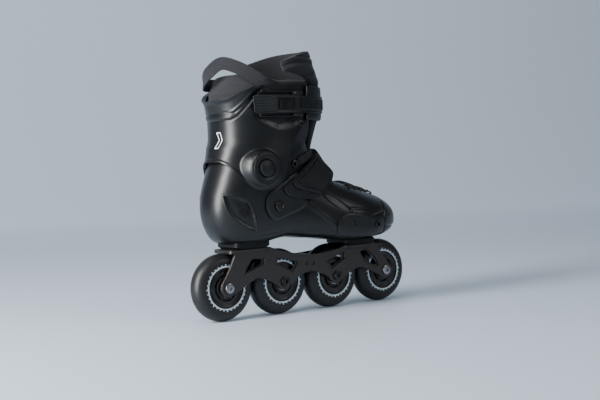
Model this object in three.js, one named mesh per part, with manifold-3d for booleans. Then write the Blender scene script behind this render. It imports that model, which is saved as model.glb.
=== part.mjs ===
// One inline skate, right foot: hard shell boot with a hinged ankle cuff, four wheels in a line.
// Millimetres. +X points to the toe, +Y to the inner side of the foot, +Z up.
// The origin is on the floor, under the middle of the wheelbase, in the wheels' plane.
import * as THREE from "three";
import { mergeVertices } from "three/addons/utils/BufferGeometryUtils.js";
import Module from "manifold-3d";

const wasm = await Module();
wasm.setup();

// ---------------------------------------------------------------- driving dimensions
const GAP = 0.3; // between pieces that touch

// Wheels and axles
const WHEEL_RADIUS = 40;
const WHEEL_HALF_WIDTH = 12;
const WHEEL_GAP = 1; // between one tread and the next
const WHEEL_PITCH = 2 * WHEEL_RADIUS + WHEEL_GAP;
const WHEEL_COUNT = 4;
const TYRE_SIDES = 32;
const TREAD_HALF_FLAT = 1.5;
const CORE_RADIUS = 23.4;
const CORE_HALF_WIDTH = 9.3;
const BEARING_RADIUS = 11;
const BEARING_WIDTH = 7;
const BEARING_FIT = 0.06;
const AXLE_RADIUS = 3.95;
const AXLE_CLEARANCE = 0.1;
const AXLE_HEAD_RADIUS = 6;
const AXLE_HEAD_LENGTH = 2.4;
const ROUND_SIDES = 20; // bores, bearings and bosses share one side count
const SHAFT_SIDES = 12;

// Frame
const FRAME_HALF_WIDTH = 17.5;
const FRAME_WALL = 3.4;
const FRAME_END_RADIUS = 10.5;
const BOSS_RADIUS = 6.5;
const WHEEL_CLEARANCE = 1.6;
const HEEL_DECK_Z = 2 * WHEEL_RADIUS + 4; // top of the frame under the heel
const TOE_DECK_Z = HEEL_DECK_Z - 7; // top of the frame under the ball of the foot
const BOOT_LIFT = HEEL_DECK_Z - 84; // the boot is drawn on a heel deck 84 high
const DECK_THICKNESS = 5;
const DECK_HALF_WIDTH = 20;
const MOUNT_SPACING = 2 * WHEEL_PITCH + 3; // each mount bolt stands over a gap between wheels
const MOUNT_REAR_X = -WHEEL_PITCH - 3;
const MOUNT_FRONT_X = MOUNT_REAR_X + MOUNT_SPACING;
const MOUNT_BOLT_RADIUS = 3.9;
const MOUNT_HEAD_RADIUS = 7;
const BLOCK_HALF_WIDTH = 22;

// Boot
const TOE_SWING = 11; // how far the toe leans to the inner side
const SHELL_WALL = 4;
const LINER_GAP = 0.6;
const LINER_WALL = 8;
const SLOT_TOE_X = 103; // front end of the instep slot
const SLOT_HALF_TOE = 10;
const SLOT_HALF_ANKLE = 24;
const TONGUE_DEPTH = 3; // below the shell's outer surface
const TONGUE_THICKNESS = 7;
const TONGUE_TOP_Z = 209;
const VENT_DEPTH = 1.6;
const SHOCK_PAD_THICKNESS = 4;
const LINER_SOLE = 4;
const INSOLE_THICKNESS = 4;

// Cuff and ankle pivot
const CUFF_WALL = 3.5;
const CUFF_FRONT_X = -8; // where the cuff's front tabs end
const COLLAR_WALL = 7;
const PIVOT = { x: -85, z: 178 };
const PIVOT_FACE_Y = 52; // outer face of the cuff's pivot boss
const PIVOT_BOSS_RADIUS = 20;
const PIVOT_BOSS_FLARE = 8;
const PIVOT_POCKET_RADIUS = 12.8;
const PIVOT_POCKET_DEPTH = 3;
const PIVOT_HEAD_RADIUS = 10.5;
const PIVOT_DOME = { outer: 2.6, inner: 7.4 }; // how far each head stands out of its boss
const PIVOT_SHANK_RADIUS = 8;
const PIVOT_NUT_RADIUS = 14;
const PIVOT_NUT_THICKNESS = 2.5;
const SHELL_PAD_Y = 46.6; // outer face of the shell's pivot pad
const SHELL_PAD_RADIUS = 19;

// Top buckle, measured outward from the shin band's oval
const PAD_LOW_Z = 233;
const PAD_HIGH_Z = 273;
const PAD_REAR_X = -20;
const PAD_LAYER = [0.5, 2.7];
const STRAP_LOW_Z = 241.5;
const STRAP_HIGH_Z = 261.5;
const STRAP_LAYER = [3.2, 5.2];
const STRAP_OUTER_END_X = -76;
const STRAP_INNER_END_X = -38;
const STRAP_RIVET_X = -29;
const BASE_LAYER = [0.4, 2.9];
const BASE_REAR_X = -93;
const BASE_FRONT_X = -30;
const BASE_LOW_Z = 237;
const BASE_HIGH_Z = 266;
const LEVER_LAYER = [6.2, 9.6];
const LEVER_REAR_X = -97;
const LEVER_PIN_X = -41.5;
const LEVER_NOSE = 1.9; // from the pin's centre to the lever's front end
const LEVER_PIN_RADIUS = 1.1;
const TAB_REAR_X = -68;
const TAB_FRONT_X = -48;
const TAB_HALF_HEIGHT = 5.5;
const GUIDE_HALF_WIDTH = 5;
const GUIDE_WALL = 2.4;

// Instep strap, at 45 degrees over the ankle, measured outward from the boot
const WING_RIVET = { x: -65, z: 133 };
const RIVET_RADIUS = 2.6;
const RIVET_HEAD_RADIUS = 6;
const WING_SEAT_Y = 45.9; // outer face of the wings at their rivets
const WING_LAYER = [0.4, 3.1];
const WEBBING_LAYER = [3.7, 6.2];
const FLAP_LAYER = [6.8, 9];
const PATCH_LAYER = [9.4, 11];
const WEBBING_HALF_WIDTH = 19;
const FLAP_HALF_WIDTH = 17.5;
const WEBBING_LOW = { x: -55, z: 135 };
const WEBBING_HIGH = { x: 29, z: 183 };

// Side wear plates, heel loop and lace
const PLATE_LAYER = [0.4, 2.8];
const LOOP_WIDTH = 24;
const LOOP_THICKNESS = 2;
const LACE_RADIUS = 1.5;

const CIRCLE = 2 * Math.PI;
const AXLE_Z = WHEEL_RADIUS;
const axleX = Array.from(
  { length: WHEEL_COUNT },
  (_, i) => (i - (WHEEL_COUNT - 1) / 2) * WHEEL_PITCH,
);

// ---------------------------------------------------------------- materials
const finish = (color, roughness, metalness = 0) =>
  new THREE.MeshStandardMaterial({ color, roughness, metalness });
const MATERIALS = {
  urethane: finish(0x101214, 0.42),
  core: finish(0x1d1a1b, 0.5),
  steel: finish(0x8b8c8e, 0.3, 1),
  anodised: finish(0x2e2c2d, 0.45, 0.6),
  shell: finish(0x17191c, 0.34),
  nylon: finish(0x1b1c1f, 0.5),
  liner: finish(0x1f2024, 0.9),
  webbing: finish(0x1c2023, 0.95),
  foam: finish(0x2a2a2c, 0.9),
  rubber: finish(0x101011, 0.8),
};

// ---------------------------------------------------------------- solids
// A closed geometry as a manifold-3d solid with its faces pointing out.
function solid(geometry) {
  const source = geometry.clone();
  source.deleteAttribute("normal");
  source.deleteAttribute("uv");
  const merged = mergeVertices(source, 1e-4);
  const vertProperties = merged.attributes.position.array;
  const triVerts = new Uint32Array(merged.index.array);
  const made = new wasm.Manifold(new wasm.Mesh({ numProp: 3, vertProperties, triVerts }));
  if (made.volume() >= 0) return made;
  for (let i = 0; i < triVerts.length; i += 3) {
    [triVerts[i + 1], triVerts[i + 2]] = [triVerts[i + 2], triVerts[i + 1]];
  }
  return new wasm.Manifold(new wasm.Mesh({ numProp: 3, vertProperties, triVerts }));
}

function geometryOf(made) {
  const mesh = made.getMesh();
  const positions = new Float32Array(mesh.numVert * 3);
  for (let i = 0; i < mesh.numVert; i++) {
    positions.set(mesh.vertProperties.subarray(i * mesh.numProp, i * mesh.numProp + 3), i * 3);
  }
  const geometry = new THREE.BufferGeometry();
  geometry.setAttribute("position", new THREE.BufferAttribute(positions, 3));
  geometry.setIndex(new THREE.BufferAttribute(new Uint32Array(mesh.triVerts), 1));
  geometry.computeVertexNormals();
  return geometry;
}

const root = new THREE.Group();

function addPiece(name, made, material, parent = root) {
  const mesh = new THREE.Mesh(geometryOf(made), material);
  mesh.name = name;
  parent.add(mesh);
  return mesh;
}

const bootPiece = (name, made, material) => addPiece(name, made.translate([0, 0, BOOT_LIFT]), material);

const union = (...list) => list.reduce((a, b) => a.add(b));

// A box given by its lowest and highest corners.
function box(x0, x1, y0, y1, z0, z1) {
  const geometry = new THREE.BoxGeometry(x1 - x0, y1 - y0, z1 - z0);
  geometry.translate((x0 + x1) / 2, (y0 + y1) / 2, (z0 + z1) / 2);
  return solid(geometry);
}

// A side-view shape (x, z) carried from y0 to y1.
function sidePrism(shape, y0, y1) {
  const geometry = new THREE.ExtrudeGeometry(shape, {
    depth: y1 - y0,
    bevelEnabled: false,
    curveSegments: 4,
  });
  geometry.rotateX(Math.PI / 2);
  geometry.translate(0, y1, 0);
  return solid(geometry);
}

// A top-view shape (x, y) carried from z0 to z1.
function topPrism(shape, z0, z1) {
  const geometry = new THREE.ExtrudeGeometry(shape, {
    depth: z1 - z0,
    bevelEnabled: false,
    curveSegments: 4,
  });
  geometry.translate(0, 0, z0);
  return solid(geometry);
}

const polygon = (points) => new THREE.Shape(points.map(([x, z]) => new THREE.Vector2(x, z)));

// A profile of [radius, y] points turned about the Y axis, moved to (x, z).
// Half a step of turn puts a flat side, not a corner, at the bottom.
function turned(profile, sides, x, z, closed = false) {
  const points = profile.map(([r, y]) => new THREE.Vector2(r, y));
  if (closed) points.push(points[0].clone());
  const geometry = new THREE.LatheGeometry(points, sides);
  geometry.rotateY(Math.PI / sides);
  geometry.translate(x, 0, z);
  return solid(geometry);
}

const discY = (radius, y0, y1, x, z, sides = ROUND_SIDES) =>
  turned([[0, y0], [radius, y0], [radius, y1], [0, y1]], sides, x, z);

const ringY = (inner, outer, y0, y1, x, z, sides = ROUND_SIDES) =>
  turned([[inner, y0], [outer, y0], [outer, y1], [inner, y1]], sides, x, z, true);

// A round bar along Z.
function discZ(radius, z0, z1, x, y, sides = SHAFT_SIDES) {
  const geometry = new THREE.CylinderGeometry(radius, radius, z1 - z0, sides);
  geometry.rotateX(Math.PI / 2);
  geometry.translate(x, y, (z0 + z1) / 2);
  return solid(geometry);
}

// A closed skin through rings of points, with a fan at each end.
function skin(rings) {
  const count = rings[0].length;
  const positions = rings.flat().flatMap((p) => [p.x, p.y, p.z]);
  const index = [];
  for (let i = 0; i + 1 < rings.length; i++) {
    for (let j = 0; j < count; j++) {
      const k = (j + 1) % count;
      const a = i * count + j;
      const b = i * count + k;
      index.push(a, b, b + count, a, b + count, a + count);
    }
  }
  for (const end of [0, rings.length - 1]) {
    const middle = new THREE.Vector3();
    rings[end].forEach((p) => middle.addScaledVector(p, 1 / count));
    positions.push(middle.x, middle.y, middle.z);
    const tip = positions.length / 3 - 1;
    for (let j = 0; j < count; j++) {
      const a = end * count + j;
      const b = end * count + ((j + 1) % count);
      if (end === 0) index.push(tip, b, a);
      else index.push(tip, a, b);
    }
  }
  const geometry = new THREE.BufferGeometry();
  geometry.setAttribute("position", new THREE.Float32BufferAttribute(positions, 3));
  geometry.setIndex(index);
  return solid(geometry);
}

// ---------------------------------------------------------------- boot surfaces
// A station is one cross-section of the boot. It lies between a point on the instep line and a
// point on the sole or back line, both [x, z] in the middle plane. half is its half width,
// crest the share of the way from instep to sole where it is widest, and the two powers make
// each end a superellipse: 2 is round, more is squarer.
const WIDEST_X = -57; // where the ankle and leg are widest
const station = (top, base, half, crest, topPower, basePower) =>
  ({ top, base, half, crest, topPower, basePower });

// From the toe, fanning round the ankle, and up the leg.
const BOOT = [
  station([142.8, 111.7], [142.8, 101.5], 11.8, 0.5, 2, 2.2),
  station([140.3, 120.8], [139.8, 94.4], 23, 0.5, 2, 2.4),
  station([134.4, 127.2], [132.4, 90.2], 31.6, 0.52, 2.1, 2.8),
  station([123.4, 133.6], [118.6, 87.4], 39.4, 0.55, 2.1, 3.4),
  station([108.2, 139.6], [101.3, 85.4], 45.6, 0.58, 2.1, 4),
  station([89.3, 145.6], [82.2, 84.9], 49.9, 0.6, 2, 4),
  station([71.7, 151], [59.7, 84.4], 51.3, 0.6, 2, 4),
  station([54.5, 156.8], [37, 85], 49.5, 0.6, 2, 3.8),
  station([39.5, 163.4], [12, 88.5], 45.5, 0.58, 2, 3.6),
  station([30, 172.4], [-14, 91], 42.5, 0.56, 2, 3.4),
  station([22, 181], [-42, 93.5], 41, 0.55, 2, 3.4),
  station([17, 188], [-72, 89.4], 40.5, 0.55, 2.1, 3.4),
  station([13, 194], [-98.4, 88.8], 41, 0.55, 2.1, 3.2),
  station([11, 199], [-120.5, 92.2], 42, 0.55, 2.1, 2.8),
  station([9, 203], [-133, 106.8], 42.6, 0.55, 2.1, 2.5),
  station([7, 208], [-138.2, 126], 43, 0.55, 2.1, 2.4),
  station([6, 213], [-137.5, 146], 43.6, 0.55, 2.1, 2.25),
  station([5, 219], [-131.5, 166], 43.6, 0.55, 2.1, 2.2),
  station([5, 226], [-124.5, 185], 43.8, 0.54, 2.1, 2.2),
  station([5, 236], [-120, 204], 44.4, 0.52, 2.2, 2.2),
];

// A section level with the floor, given by its front, back and widest places.
const level = (z, front, back, half, frontPower = 2.3, backPower = 2.3) =>
  station([front, z], [back, z], half, (front - WIDEST_X) / (front - back), frontPower, backPower);

// The cuff, from under the ankle to over the rim.
const CUFF = [
  level(148, 5, -141, 49.2),
  level(165, 7, -139, 51),
  level(180, 9, -134.5, 51),
  level(190, 10, -131, 50.9),
  level(200, 11, -126, 50.5),
  level(213, 12, -121.5, 50),
  level(237, 13, -121.5, 50),
  level(246, 14, -123, 50.4),
  level(261, 16, -127, 51),
  level(282, 18, -133, 52.5),
];

// The liner's collar follows the cuff, then closes in over the rim.
const COLLAR = [
  ...CUFF.slice(0, 8),
  level(261, 15, -121.5, 50.2),
  level(275, 15, -117, 49.5),
  level(289, 15, -109, 48.5),
  level(302, 15, -100, 47),
];

// The shin part of the tongue.
const SHIN = [
  level(225, 19.5, -110, 43, 2.2),
  level(240, 21.5, -112, 45, 2.2),
  level(260, 21.5, -112, 46, 2.2),
  level(281, 21, -112, 46, 2.2),
  level(292, 20.5, -112, 46, 2.2),
  level(315, 16, -108, 44, 2.2),
  level(330, 9, -104, 42, 2.2),
];

// The oval that the shin band, the ladder strap and the lever follow.
const BAND = [
  level(225, 22, -124, 50.4, 2.2),
  level(237, 23, -124, 50.7, 2.2),
  level(249, 23.5, -125.5, 50.9, 2.2),
  level(261, 23.5, -127.5, 51.2, 2.2),
  level(275, 23, -131, 52, 2.2),
  level(290, 22, -132, 52.4, 2.2),
];

// Moves a station inward by depth, or outward if depth is negative.
function inset(s, depth) {
  const along = new THREE.Vector2(s.base[0] - s.top[0], s.base[1] - s.top[1]).normalize();
  const toeShare = THREE.MathUtils.clamp((s.base[0] - 92) / 50, 0, 1);
  const back = depth * toeShare;
  return {
    ...s,
    top: [s.top[0] + along.x * depth - back, s.top[1] + along.y * depth],
    base: [s.base[0] - along.x * depth - back, s.base[1] - along.y * depth],
    half: s.half - depth,
  };
}

const cubic = (a, b, c, d, t) =>
  0.5 * (2 * b + (c - a) * t + (2 * a - 5 * b + 4 * c - d) * t * t + (3 * b - a - 3 * c + d) * t * t * t);

// The station a share of the way between two others, on a smooth curve through all of them.
function stationAt(list, position) {
  const i = Math.min(Math.floor(position), list.length - 2);
  const t = position - i;
  const four = [i - 1, i, i + 1, i + 2].map(
    (k) => list[THREE.MathUtils.clamp(k, 0, list.length - 1)],
  );
  const mix = (get) => cubic(...four.map(get), t);
  return {
    top: [mix((s) => s.top[0]), mix((s) => s.top[1])],
    base: [mix((s) => s.base[0]), mix((s) => s.base[1])],
    half: mix((s) => s.half),
    crest: mix((s) => s.crest),
    topPower: mix((s) => s.topPower),
    basePower: mix((s) => s.basePower),
  };
}

// How far the forefoot leans to the inner side at an x.
const toeSwing = (x) => TOE_SWING * THREE.MathUtils.clamp((x - 55) / 90, 0, 1) ** 2;

// A point of a station at an angle: 0 is the instep, a half turn is the sole.
function pointOn(s, angle) {
  const c = Math.cos(angle);
  const power = 2 / (c >= 0 ? s.topPower : s.basePower);
  const reach = Math.abs(c) ** power;
  const t = c >= 0 ? s.crest * (1 - reach) : s.crest + (1 - s.crest) * reach;
  const x = THREE.MathUtils.lerp(s.top[0], s.base[0], t);
  return new THREE.Vector3(
    x,
    toeSwing(x) + s.half * Math.abs(Math.sin(angle)) ** power * Math.sign(Math.sin(angle)),
    THREE.MathUtils.lerp(s.top[1], s.base[1], t),
  );
}

// The closed skin of a list of stations, inset by depth, one ring at each of its places.
function body(list, depth, places, around) {
  const moved = list.map((s) => inset(s, depth));
  const rings = places.map((place) => {
    const s = stationAt(moved, place);
    return Array.from({ length: around }, (_, j) => pointOn(s, (j * CIRCLE) / around));
  });
  return skin(rings);
}

// The boot's skin at a depth. A deep one starts further back, where the toe is high enough.
function bootSkin(depth) {
  const first = depth > 8 ? 2 : depth > 2 ? 1 : 0;
  return body(BOOT, depth, [...BOOT.keys()].slice(first), 24);
}

const levelSkin = (list, depth) => body(list, depth, [...list.keys()], 28);

// The layer between two distances outside a skin, kept where a cutter is.
const layer = (skinAt, [near, far], cutter) =>
  skinAt(-far).subtract(skinAt(-near)).intersect(cutter);
const bandSkin = (depth) => levelSkin(BAND, depth);

const WIDE = 90; // wider than half the boot
const FAR = 200; // further than any part of the boot

// ---------------------------------------------------------------- wheels
function tyreProfile() {
  const tread = WHEEL_RADIUS / Math.cos(Math.PI / TYRE_SIDES);
  const inner = (CORE_RADIUS + GAP) / Math.cos(Math.PI / TYRE_SIDES);
  const half = [
    [inner, CORE_HALF_WIDTH],
    [WHEEL_RADIUS - 8, WHEEL_HALF_WIDTH],
    [WHEEL_RADIUS - 2.4, WHEEL_HALF_WIDTH * 0.66],
    [tread, TREAD_HALF_FLAT],
  ];
  return [...half, ...half.map(([r, y]) => [r, -y]).reverse()];
}

function hubProfile() {
  const seat = BEARING_RADIUS + BEARING_FIT;
  const stop = BEARING_RADIUS - 1.6;
  const stopHalf = WHEEL_HALF_WIDTH - BEARING_WIDTH;
  const half = [
    [stop, stopHalf],
    [seat, stopHalf],
    [seat, WHEEL_HALF_WIDTH],
    [seat + 2.2, WHEEL_HALF_WIDTH],
    [seat + 3, CORE_HALF_WIDTH - 2],
    [CORE_RADIUS, CORE_HALF_WIDTH],
  ];
  return [...half, ...half.map(([r, y]) => [r, -y]).reverse()];
}

function wheel(number, x) {
  const group = new THREE.Group();
  const bore = AXLE_RADIUS + AXLE_CLEARANCE;
  const tyre = turned(tyreProfile(), TYRE_SIDES, x, AXLE_Z, true);
  const hub = turned(hubProfile(), ROUND_SIDES, x, AXLE_Z, true);
  addPiece(`wheel_${number}_tyre`, tyre, MATERIALS.urethane, group);
  addPiece(`wheel_${number}_core`, hub, MATERIALS.core, group);
  const near = WHEEL_HALF_WIDTH - BEARING_WIDTH + GAP / 2;
  const far = WHEEL_HALF_WIDTH + GAP / 2;
  const outer = ringY(bore, BEARING_RADIUS, -far, -near, x, AXLE_Z);
  const inner = ringY(bore, BEARING_RADIUS, near, far, x, AXLE_Z);
  addPiece(`wheel_${number}_bearing_outer_side`, outer, MATERIALS.steel, group);
  addPiece(`wheel_${number}_bearing_inner_side`, inner, MATERIALS.steel, group);
  const spacer = ringY(bore, bore + 2, GAP - near, near - GAP, x, AXLE_Z, SHAFT_SIDES);
  addPiece(`wheel_${number}_bearing_spacer`, spacer, MATERIALS.steel, group);
  return group;
}

// A hexagon socket cut into a head, along Y.
function hexSocket(radius, y0, y1, x, z) {
  return discY(radius, y0, y1, x, z, 6);
}

function axleBolt(number, x) {
  const face = -(FRAME_HALF_WIDTH + GAP);
  const end = face - AXLE_HEAD_LENGTH;
  const head = turned(
    [
      [0, end],
      [AXLE_HEAD_RADIUS - 0.8, end],
      [AXLE_HEAD_RADIUS, end + 0.8],
      [AXLE_HEAD_RADIUS, face],
      [AXLE_RADIUS, face],
      [AXLE_RADIUS, FRAME_HALF_WIDTH],
      [0, FRAME_HALF_WIDTH],
    ],
    SHAFT_SIDES,
    x,
    AXLE_Z,
  );
  addPiece(`axle_bolt_${number}`, head.subtract(hexSocket(2.6, end - 1, end + 1.8, x, AXLE_Z)), MATERIALS.steel);
}

// ---------------------------------------------------------------- frame
// Lengths drawn for wheels 81 mm apart, and heights drawn for 40 mm wheels.
const alongScale = WHEEL_PITCH / 81;
const overAxle = (z) => AXLE_Z + (z * WHEEL_RADIUS) / 40;

// The side wall's outline: four legs that end in round eyes at the axles, and two decks.
function frameOutline() {
  const [rear, second, third, front] = axleX;
  const r = FRAME_END_RADIUS;
  const eye = r - 0.8;
  const k = alongScale;
  const shape = new THREE.Shape();
  shape.moveTo(rear + 11.5 * k, HEEL_DECK_Z);
  shape.lineTo(rear + 60.5 * k, HEEL_DECK_Z);
  shape.quadraticCurveTo(second + 8 * k, overAxle(33), 0, overAxle(30));
  shape.quadraticCurveTo(third - 4 * k, overAxle(31), third + 14 * k, TOE_DECK_Z);
  shape.lineTo(front - 16.5 * k, TOE_DECK_Z);
  shape.quadraticCurveTo(front - 5 * k, overAxle(21), front + r * 0.8, AXLE_Z + r * 0.6);
  shape.absarc(front, AXLE_Z, r, 0.64, -1.9, true);
  shape.quadraticCurveTo((third + front) / 2 + 20, AXLE_Z, (third + front) / 2, AXLE_Z + 7.5);
  shape.quadraticCurveTo(third + 20, AXLE_Z + 5, third + eye * 0.8, AXLE_Z - eye * 0.6);
  shape.absarc(third, AXLE_Z, eye, -0.64, Math.PI + 0.64, true);
  shape.quadraticCurveTo(third - 20, AXLE_Z + 7, 0, AXLE_Z + 9.5);
  shape.quadraticCurveTo(second + 20, AXLE_Z + 7, second + eye * 0.8, AXLE_Z - eye * 0.6);
  shape.absarc(second, AXLE_Z, eye, -0.64, Math.PI + 0.64, true);
  shape.quadraticCurveTo(second - 20, AXLE_Z + 5, (rear + second) / 2, AXLE_Z + 8.5);
  shape.quadraticCurveTo(rear + 24, AXLE_Z, rear + r * 0.33, AXLE_Z - r * 0.94);
  shape.absarc(rear, AXLE_Z, r, -1.24, -Math.PI - 0.5, true);
  shape.quadraticCurveTo(rear + 7 * k, overAxle(28), rear + 11.5 * k, HEEL_DECK_Z);
  return shape;
}

// The lightening windows in each wall, from the heel to the toe, drawn for 40 mm wheels 81 mm apart.
const FRAME_WINDOWS = [
  [[-87, 71.5], [-71, 70.5], [-73, 64], [-98, 55]],
  [[-51, 70], [-21, 63], [-29, 52], [-50, 63]],
  [[25, 59.5], [52, 68], [51, 60], [34, 51.5]],
  [[80, 67], [90, 69], [101, 59], [108.5, 49], [104, 47.5], [87, 56]],
];

function mountHole(x, z0, z1) {
  return discZ(MOUNT_BOLT_RADIUS + GAP, z0, z1, x, 0);
}

function frame() {
  const inner = FRAME_HALF_WIDTH - FRAME_WALL;
  const outline = frameOutline();
  const walls = [-FRAME_HALF_WIDTH, inner].map((y) => sidePrism(outline, y, y + FRAME_WALL));
  const [rear, second, third, front] = axleX;
  const decks = [
    box(rear + 3 * alongScale, second - 20 * alongScale, -DECK_HALF_WIDTH, DECK_HALF_WIDTH, HEEL_DECK_Z - DECK_THICKNESS, HEEL_DECK_Z),
    box(third + 13 * alongScale, front - 16 * alongScale, -DECK_HALF_WIDTH, DECK_HALF_WIDTH, TOE_DECK_Z - DECK_THICKNESS, TOE_DECK_Z),
    box(-7, 7, -inner - 1, inner + 1, overAxle(23), overAxle(29.5)),
  ];
  let made = union(...walls, ...decks);
  for (const x of axleX) {
    made = made.subtract(
      discY(WHEEL_RADIUS + WHEEL_CLEARANCE, -inner, inner, x, AXLE_Z, TYRE_SIDES),
    );
  }
  for (const x of axleX) {
    const bossFace = WHEEL_HALF_WIDTH + 2 * GAP;
    made = union(
      made,
      discY(BOSS_RADIUS, bossFace, inner + 0.5, x, AXLE_Z, SHAFT_SIDES),
      discY(BOSS_RADIUS, -inner - 0.5, -bossFace, x, AXLE_Z, SHAFT_SIDES),
    );
    made = made.subtract(
      discY(AXLE_RADIUS + AXLE_CLEARANCE, -WIDE, WIDE, x, AXLE_Z, SHAFT_SIDES),
    );
  }
  for (const points of FRAME_WINDOWS) {
    const moved = points.map(([x, z]) => [x * alongScale, overAxle(z - 40)]);
    made = made.subtract(sidePrism(polygon(moved), -WIDE, WIDE));
  }
  for (const x of [MOUNT_REAR_X, MOUNT_FRONT_X]) made = made.subtract(mountHole(x, AXLE_Z + 10, HEEL_DECK_Z + 5));
  addPiece("frame", made, MATERIALS.anodised);
}

// The room the wheels need under the boot.
const wheelWells = (lift) =>
  union(...axleX.map((x) => discY(WHEEL_RADIUS + 3, -15, 15, x, AXLE_Z - lift, TYRE_SIDES)));

// Bolt and block that hold the boot on one deck of the frame.
function mount(end, x, deckZ, blockX0, blockX1, sole) {
  const under = deckZ - DECK_THICKNESS;
  const headTop = under - GAP;
  const headLow = headTop - 4.5;
  const bolt = union(
    discZ(MOUNT_HEAD_RADIUS, headLow, headTop, x, 0),
    discZ(MOUNT_BOLT_RADIUS, headTop - 0.5, deckZ + 11, x, 0),
  ).subtract(discZ(3, headLow - 1, headLow + 2.5, x, 0, 6));
  addPiece(`${end}_mount_bolt`, bolt, MATERIALS.steel);
  const block = box(blockX0, blockX1, -BLOCK_HALF_WIDTH, BLOCK_HALF_WIDTH, deckZ + GAP, deckZ + 12)
    .subtract(sole)
    .subtract(wheelWells(0))
    .subtract(mountHole(x, deckZ - 1, deckZ + 20));
  addPiece(`${end}_mount_block`, block, MATERIALS.nylon);
}

// ---------------------------------------------------------------- shell
// The open front of the boot seen from above: a rounded toe end that widens to the ankle.
function slotShape(margin) {
  const shape = new THREE.Shape();
  const toe = SLOT_TOE_X + margin;
  const small = SLOT_HALF_TOE + margin;
  const large = SLOT_HALF_ANKLE + margin;
  shape.moveTo(-30, -large);
  shape.lineTo(30, -large);
  shape.lineTo(toe - small, -small);
  shape.quadraticCurveTo(toe, -small, toe, 0);
  shape.quadraticCurveTo(toe, small, toe - small, small);
  shape.lineTo(30, large);
  shape.lineTo(-30, large);
  return shape;
}

const slot = (margin) => topPrism(slotShape(margin), 118, 330);

// The shell's top edge: low at the heel, high at the ankle flaps.
const SHELL_EDGE = [
  [-FAR, 183.5], [-112, 183.5], [-92, 194], [-70, 204], [-45, 218], [-30, 220], [0, 214], [60, 208], [FAR, 208],
];
// The floors inside the boot, from the heel to the toe.
const SHELL_FLOOR = [[-FAR, 101], [-30, 101], [45, 92], [FAR, 92]];
const lifted = (edge, rise) => edge.map(([x, z]) => [x, z + rise]);
const LINER_FLOOR = lifted(
  [[-FAR, 101], [-40, 101], [50, 92 - SHOCK_PAD_THICKNESS], [FAR, 92 - SHOCK_PAD_THICKNESS]],
  SHOCK_PAD_THICKNESS + 2 * GAP,
);

const above = (edge) => sidePrism(polygon([...edge, [FAR, 400], [-FAR, 400]]), -WIDE, WIDE);
const below = (edge) => sidePrism(polygon([...edge, [FAR, 40], [-FAR, 40]]), -WIDE, WIDE);
const sideOf = (y) => (y < 0 ? [-WIDE, -8] : [8, WIDE]);

function pivotDiscs(radius, y0, y1) {
  return union(
    discY(radius, y0, y1, PIVOT.x, PIVOT.z),
    discY(radius, -y1, -y0, PIVOT.x, PIVOT.z),
  );
}

// The teardrop recess low on each side of the heel.
const HEEL_VENT = [[-137, 149], [-121, 147], [-102, 135], [-96, 108], [-112, 114], [-127, 126], [-137, 141]];

function shell() {
  let made = bootSkin(0);
  made = union(made, pivotDiscs(SHELL_PAD_RADIUS, SHELL_PAD_Y - SHELL_WALL - 2, SHELL_PAD_Y));
  made = made.subtract(bootSkin(SHELL_WALL).subtract(below(SHELL_FLOOR)));
  made = made.subtract(pivotDiscs(SHELL_PAD_RADIUS - 3, 20, SHELL_PAD_Y - SHELL_WALL));
  made = made.subtract(pivotDiscs(PIVOT_SHANK_RADIUS + GAP, 20, WIDE));
  made = made.subtract(above(SHELL_EDGE));
  made = made.subtract(slot(0));
  made = made.subtract(wheelWells(BOOT_LIFT));
  made = made.subtract(layer(bootSkin, [-VENT_DEPTH, 1], sidePrism(polygon(HEEL_VENT), -WIDE, WIDE)));
  made = made.subtract(
    discY(RIVET_RADIUS + GAP, -WIDE, WIDE, WING_RIVET.x, WING_RIVET.z, SHAFT_SIDES),
  );
  made = made.subtract(mountHole(MOUNT_REAR_X, 82, 96));
  made = made.subtract(mountHole(MOUNT_FRONT_X, 75, 89));
  bootPiece("shell", made, MATERIALS.shell);
}

// ---------------------------------------------------------------- liner
const linerOuter = SHELL_WALL + LINER_GAP;
const linerInner = linerOuter + LINER_WALL;
const RIVET_END_Y = 34; // how far in the strap rivets' flat ends reach

function liner() {
  const topEdge = lifted(SHELL_EDGE, -1);
  let foot = bootSkin(linerOuter).subtract(below(LINER_FLOOR));
  foot = foot.subtract(bootSkin(linerInner).subtract(below(lifted(LINER_FLOOR, LINER_SOLE))));
  foot = foot.subtract(above(topEdge)).subtract(slot(0));
  foot = foot.subtract(pivotDiscs(SHELL_PAD_RADIUS - 2.5, SHELL_PAD_Y - SHELL_WALL - PIVOT_NUT_THICKNESS - 1, WIDE));
  const rivets = discY(RIVET_HEAD_RADIUS, -WIDE, WIDE, WING_RIVET.x, WING_RIVET.z, SHAFT_SIDES);
  foot = foot.subtract(rivets.subtract(box(-FAR, FAR, -RIVET_END_Y + 1, RIVET_END_Y - 1, 0, FAR)));
  bootPiece("liner", foot, MATERIALS.liner);
  const bed = [lifted(LINER_FLOOR, LINER_SOLE + GAP), lifted(LINER_FLOOR, LINER_SOLE + GAP + INSOLE_THICKNESS)];
  const insole = bootSkin(linerInner + 2 * GAP).subtract(below(bed[0])).subtract(above(bed[1]));
  bootPiece("insole", insole, MATERIALS.foam);
  const padTop = SHELL_FLOOR[0][1] + GAP + SHOCK_PAD_THICKNESS;
  const pad = bootSkin(SHELL_WALL + 3 * GAP)
    .intersect(box(-FAR, -58, -WIDE, WIDE, SHELL_FLOOR[0][1] + GAP, padTop))
    .subtract(wheelWells(BOOT_LIFT));
  bootPiece("heel_shock_pad", pad, MATERIALS.rubber);
  const tongue = bootSkin(TONGUE_DEPTH)
    .subtract(bootSkin(TONGUE_DEPTH + TONGUE_THICKNESS))
    .intersect(slot(-1))
    .intersect(box(0, FAR, -WIDE, WIDE, 120, TONGUE_TOP_Z));
  bootPiece("tongue_lower", tongue, MATERIALS.liner);
}

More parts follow.
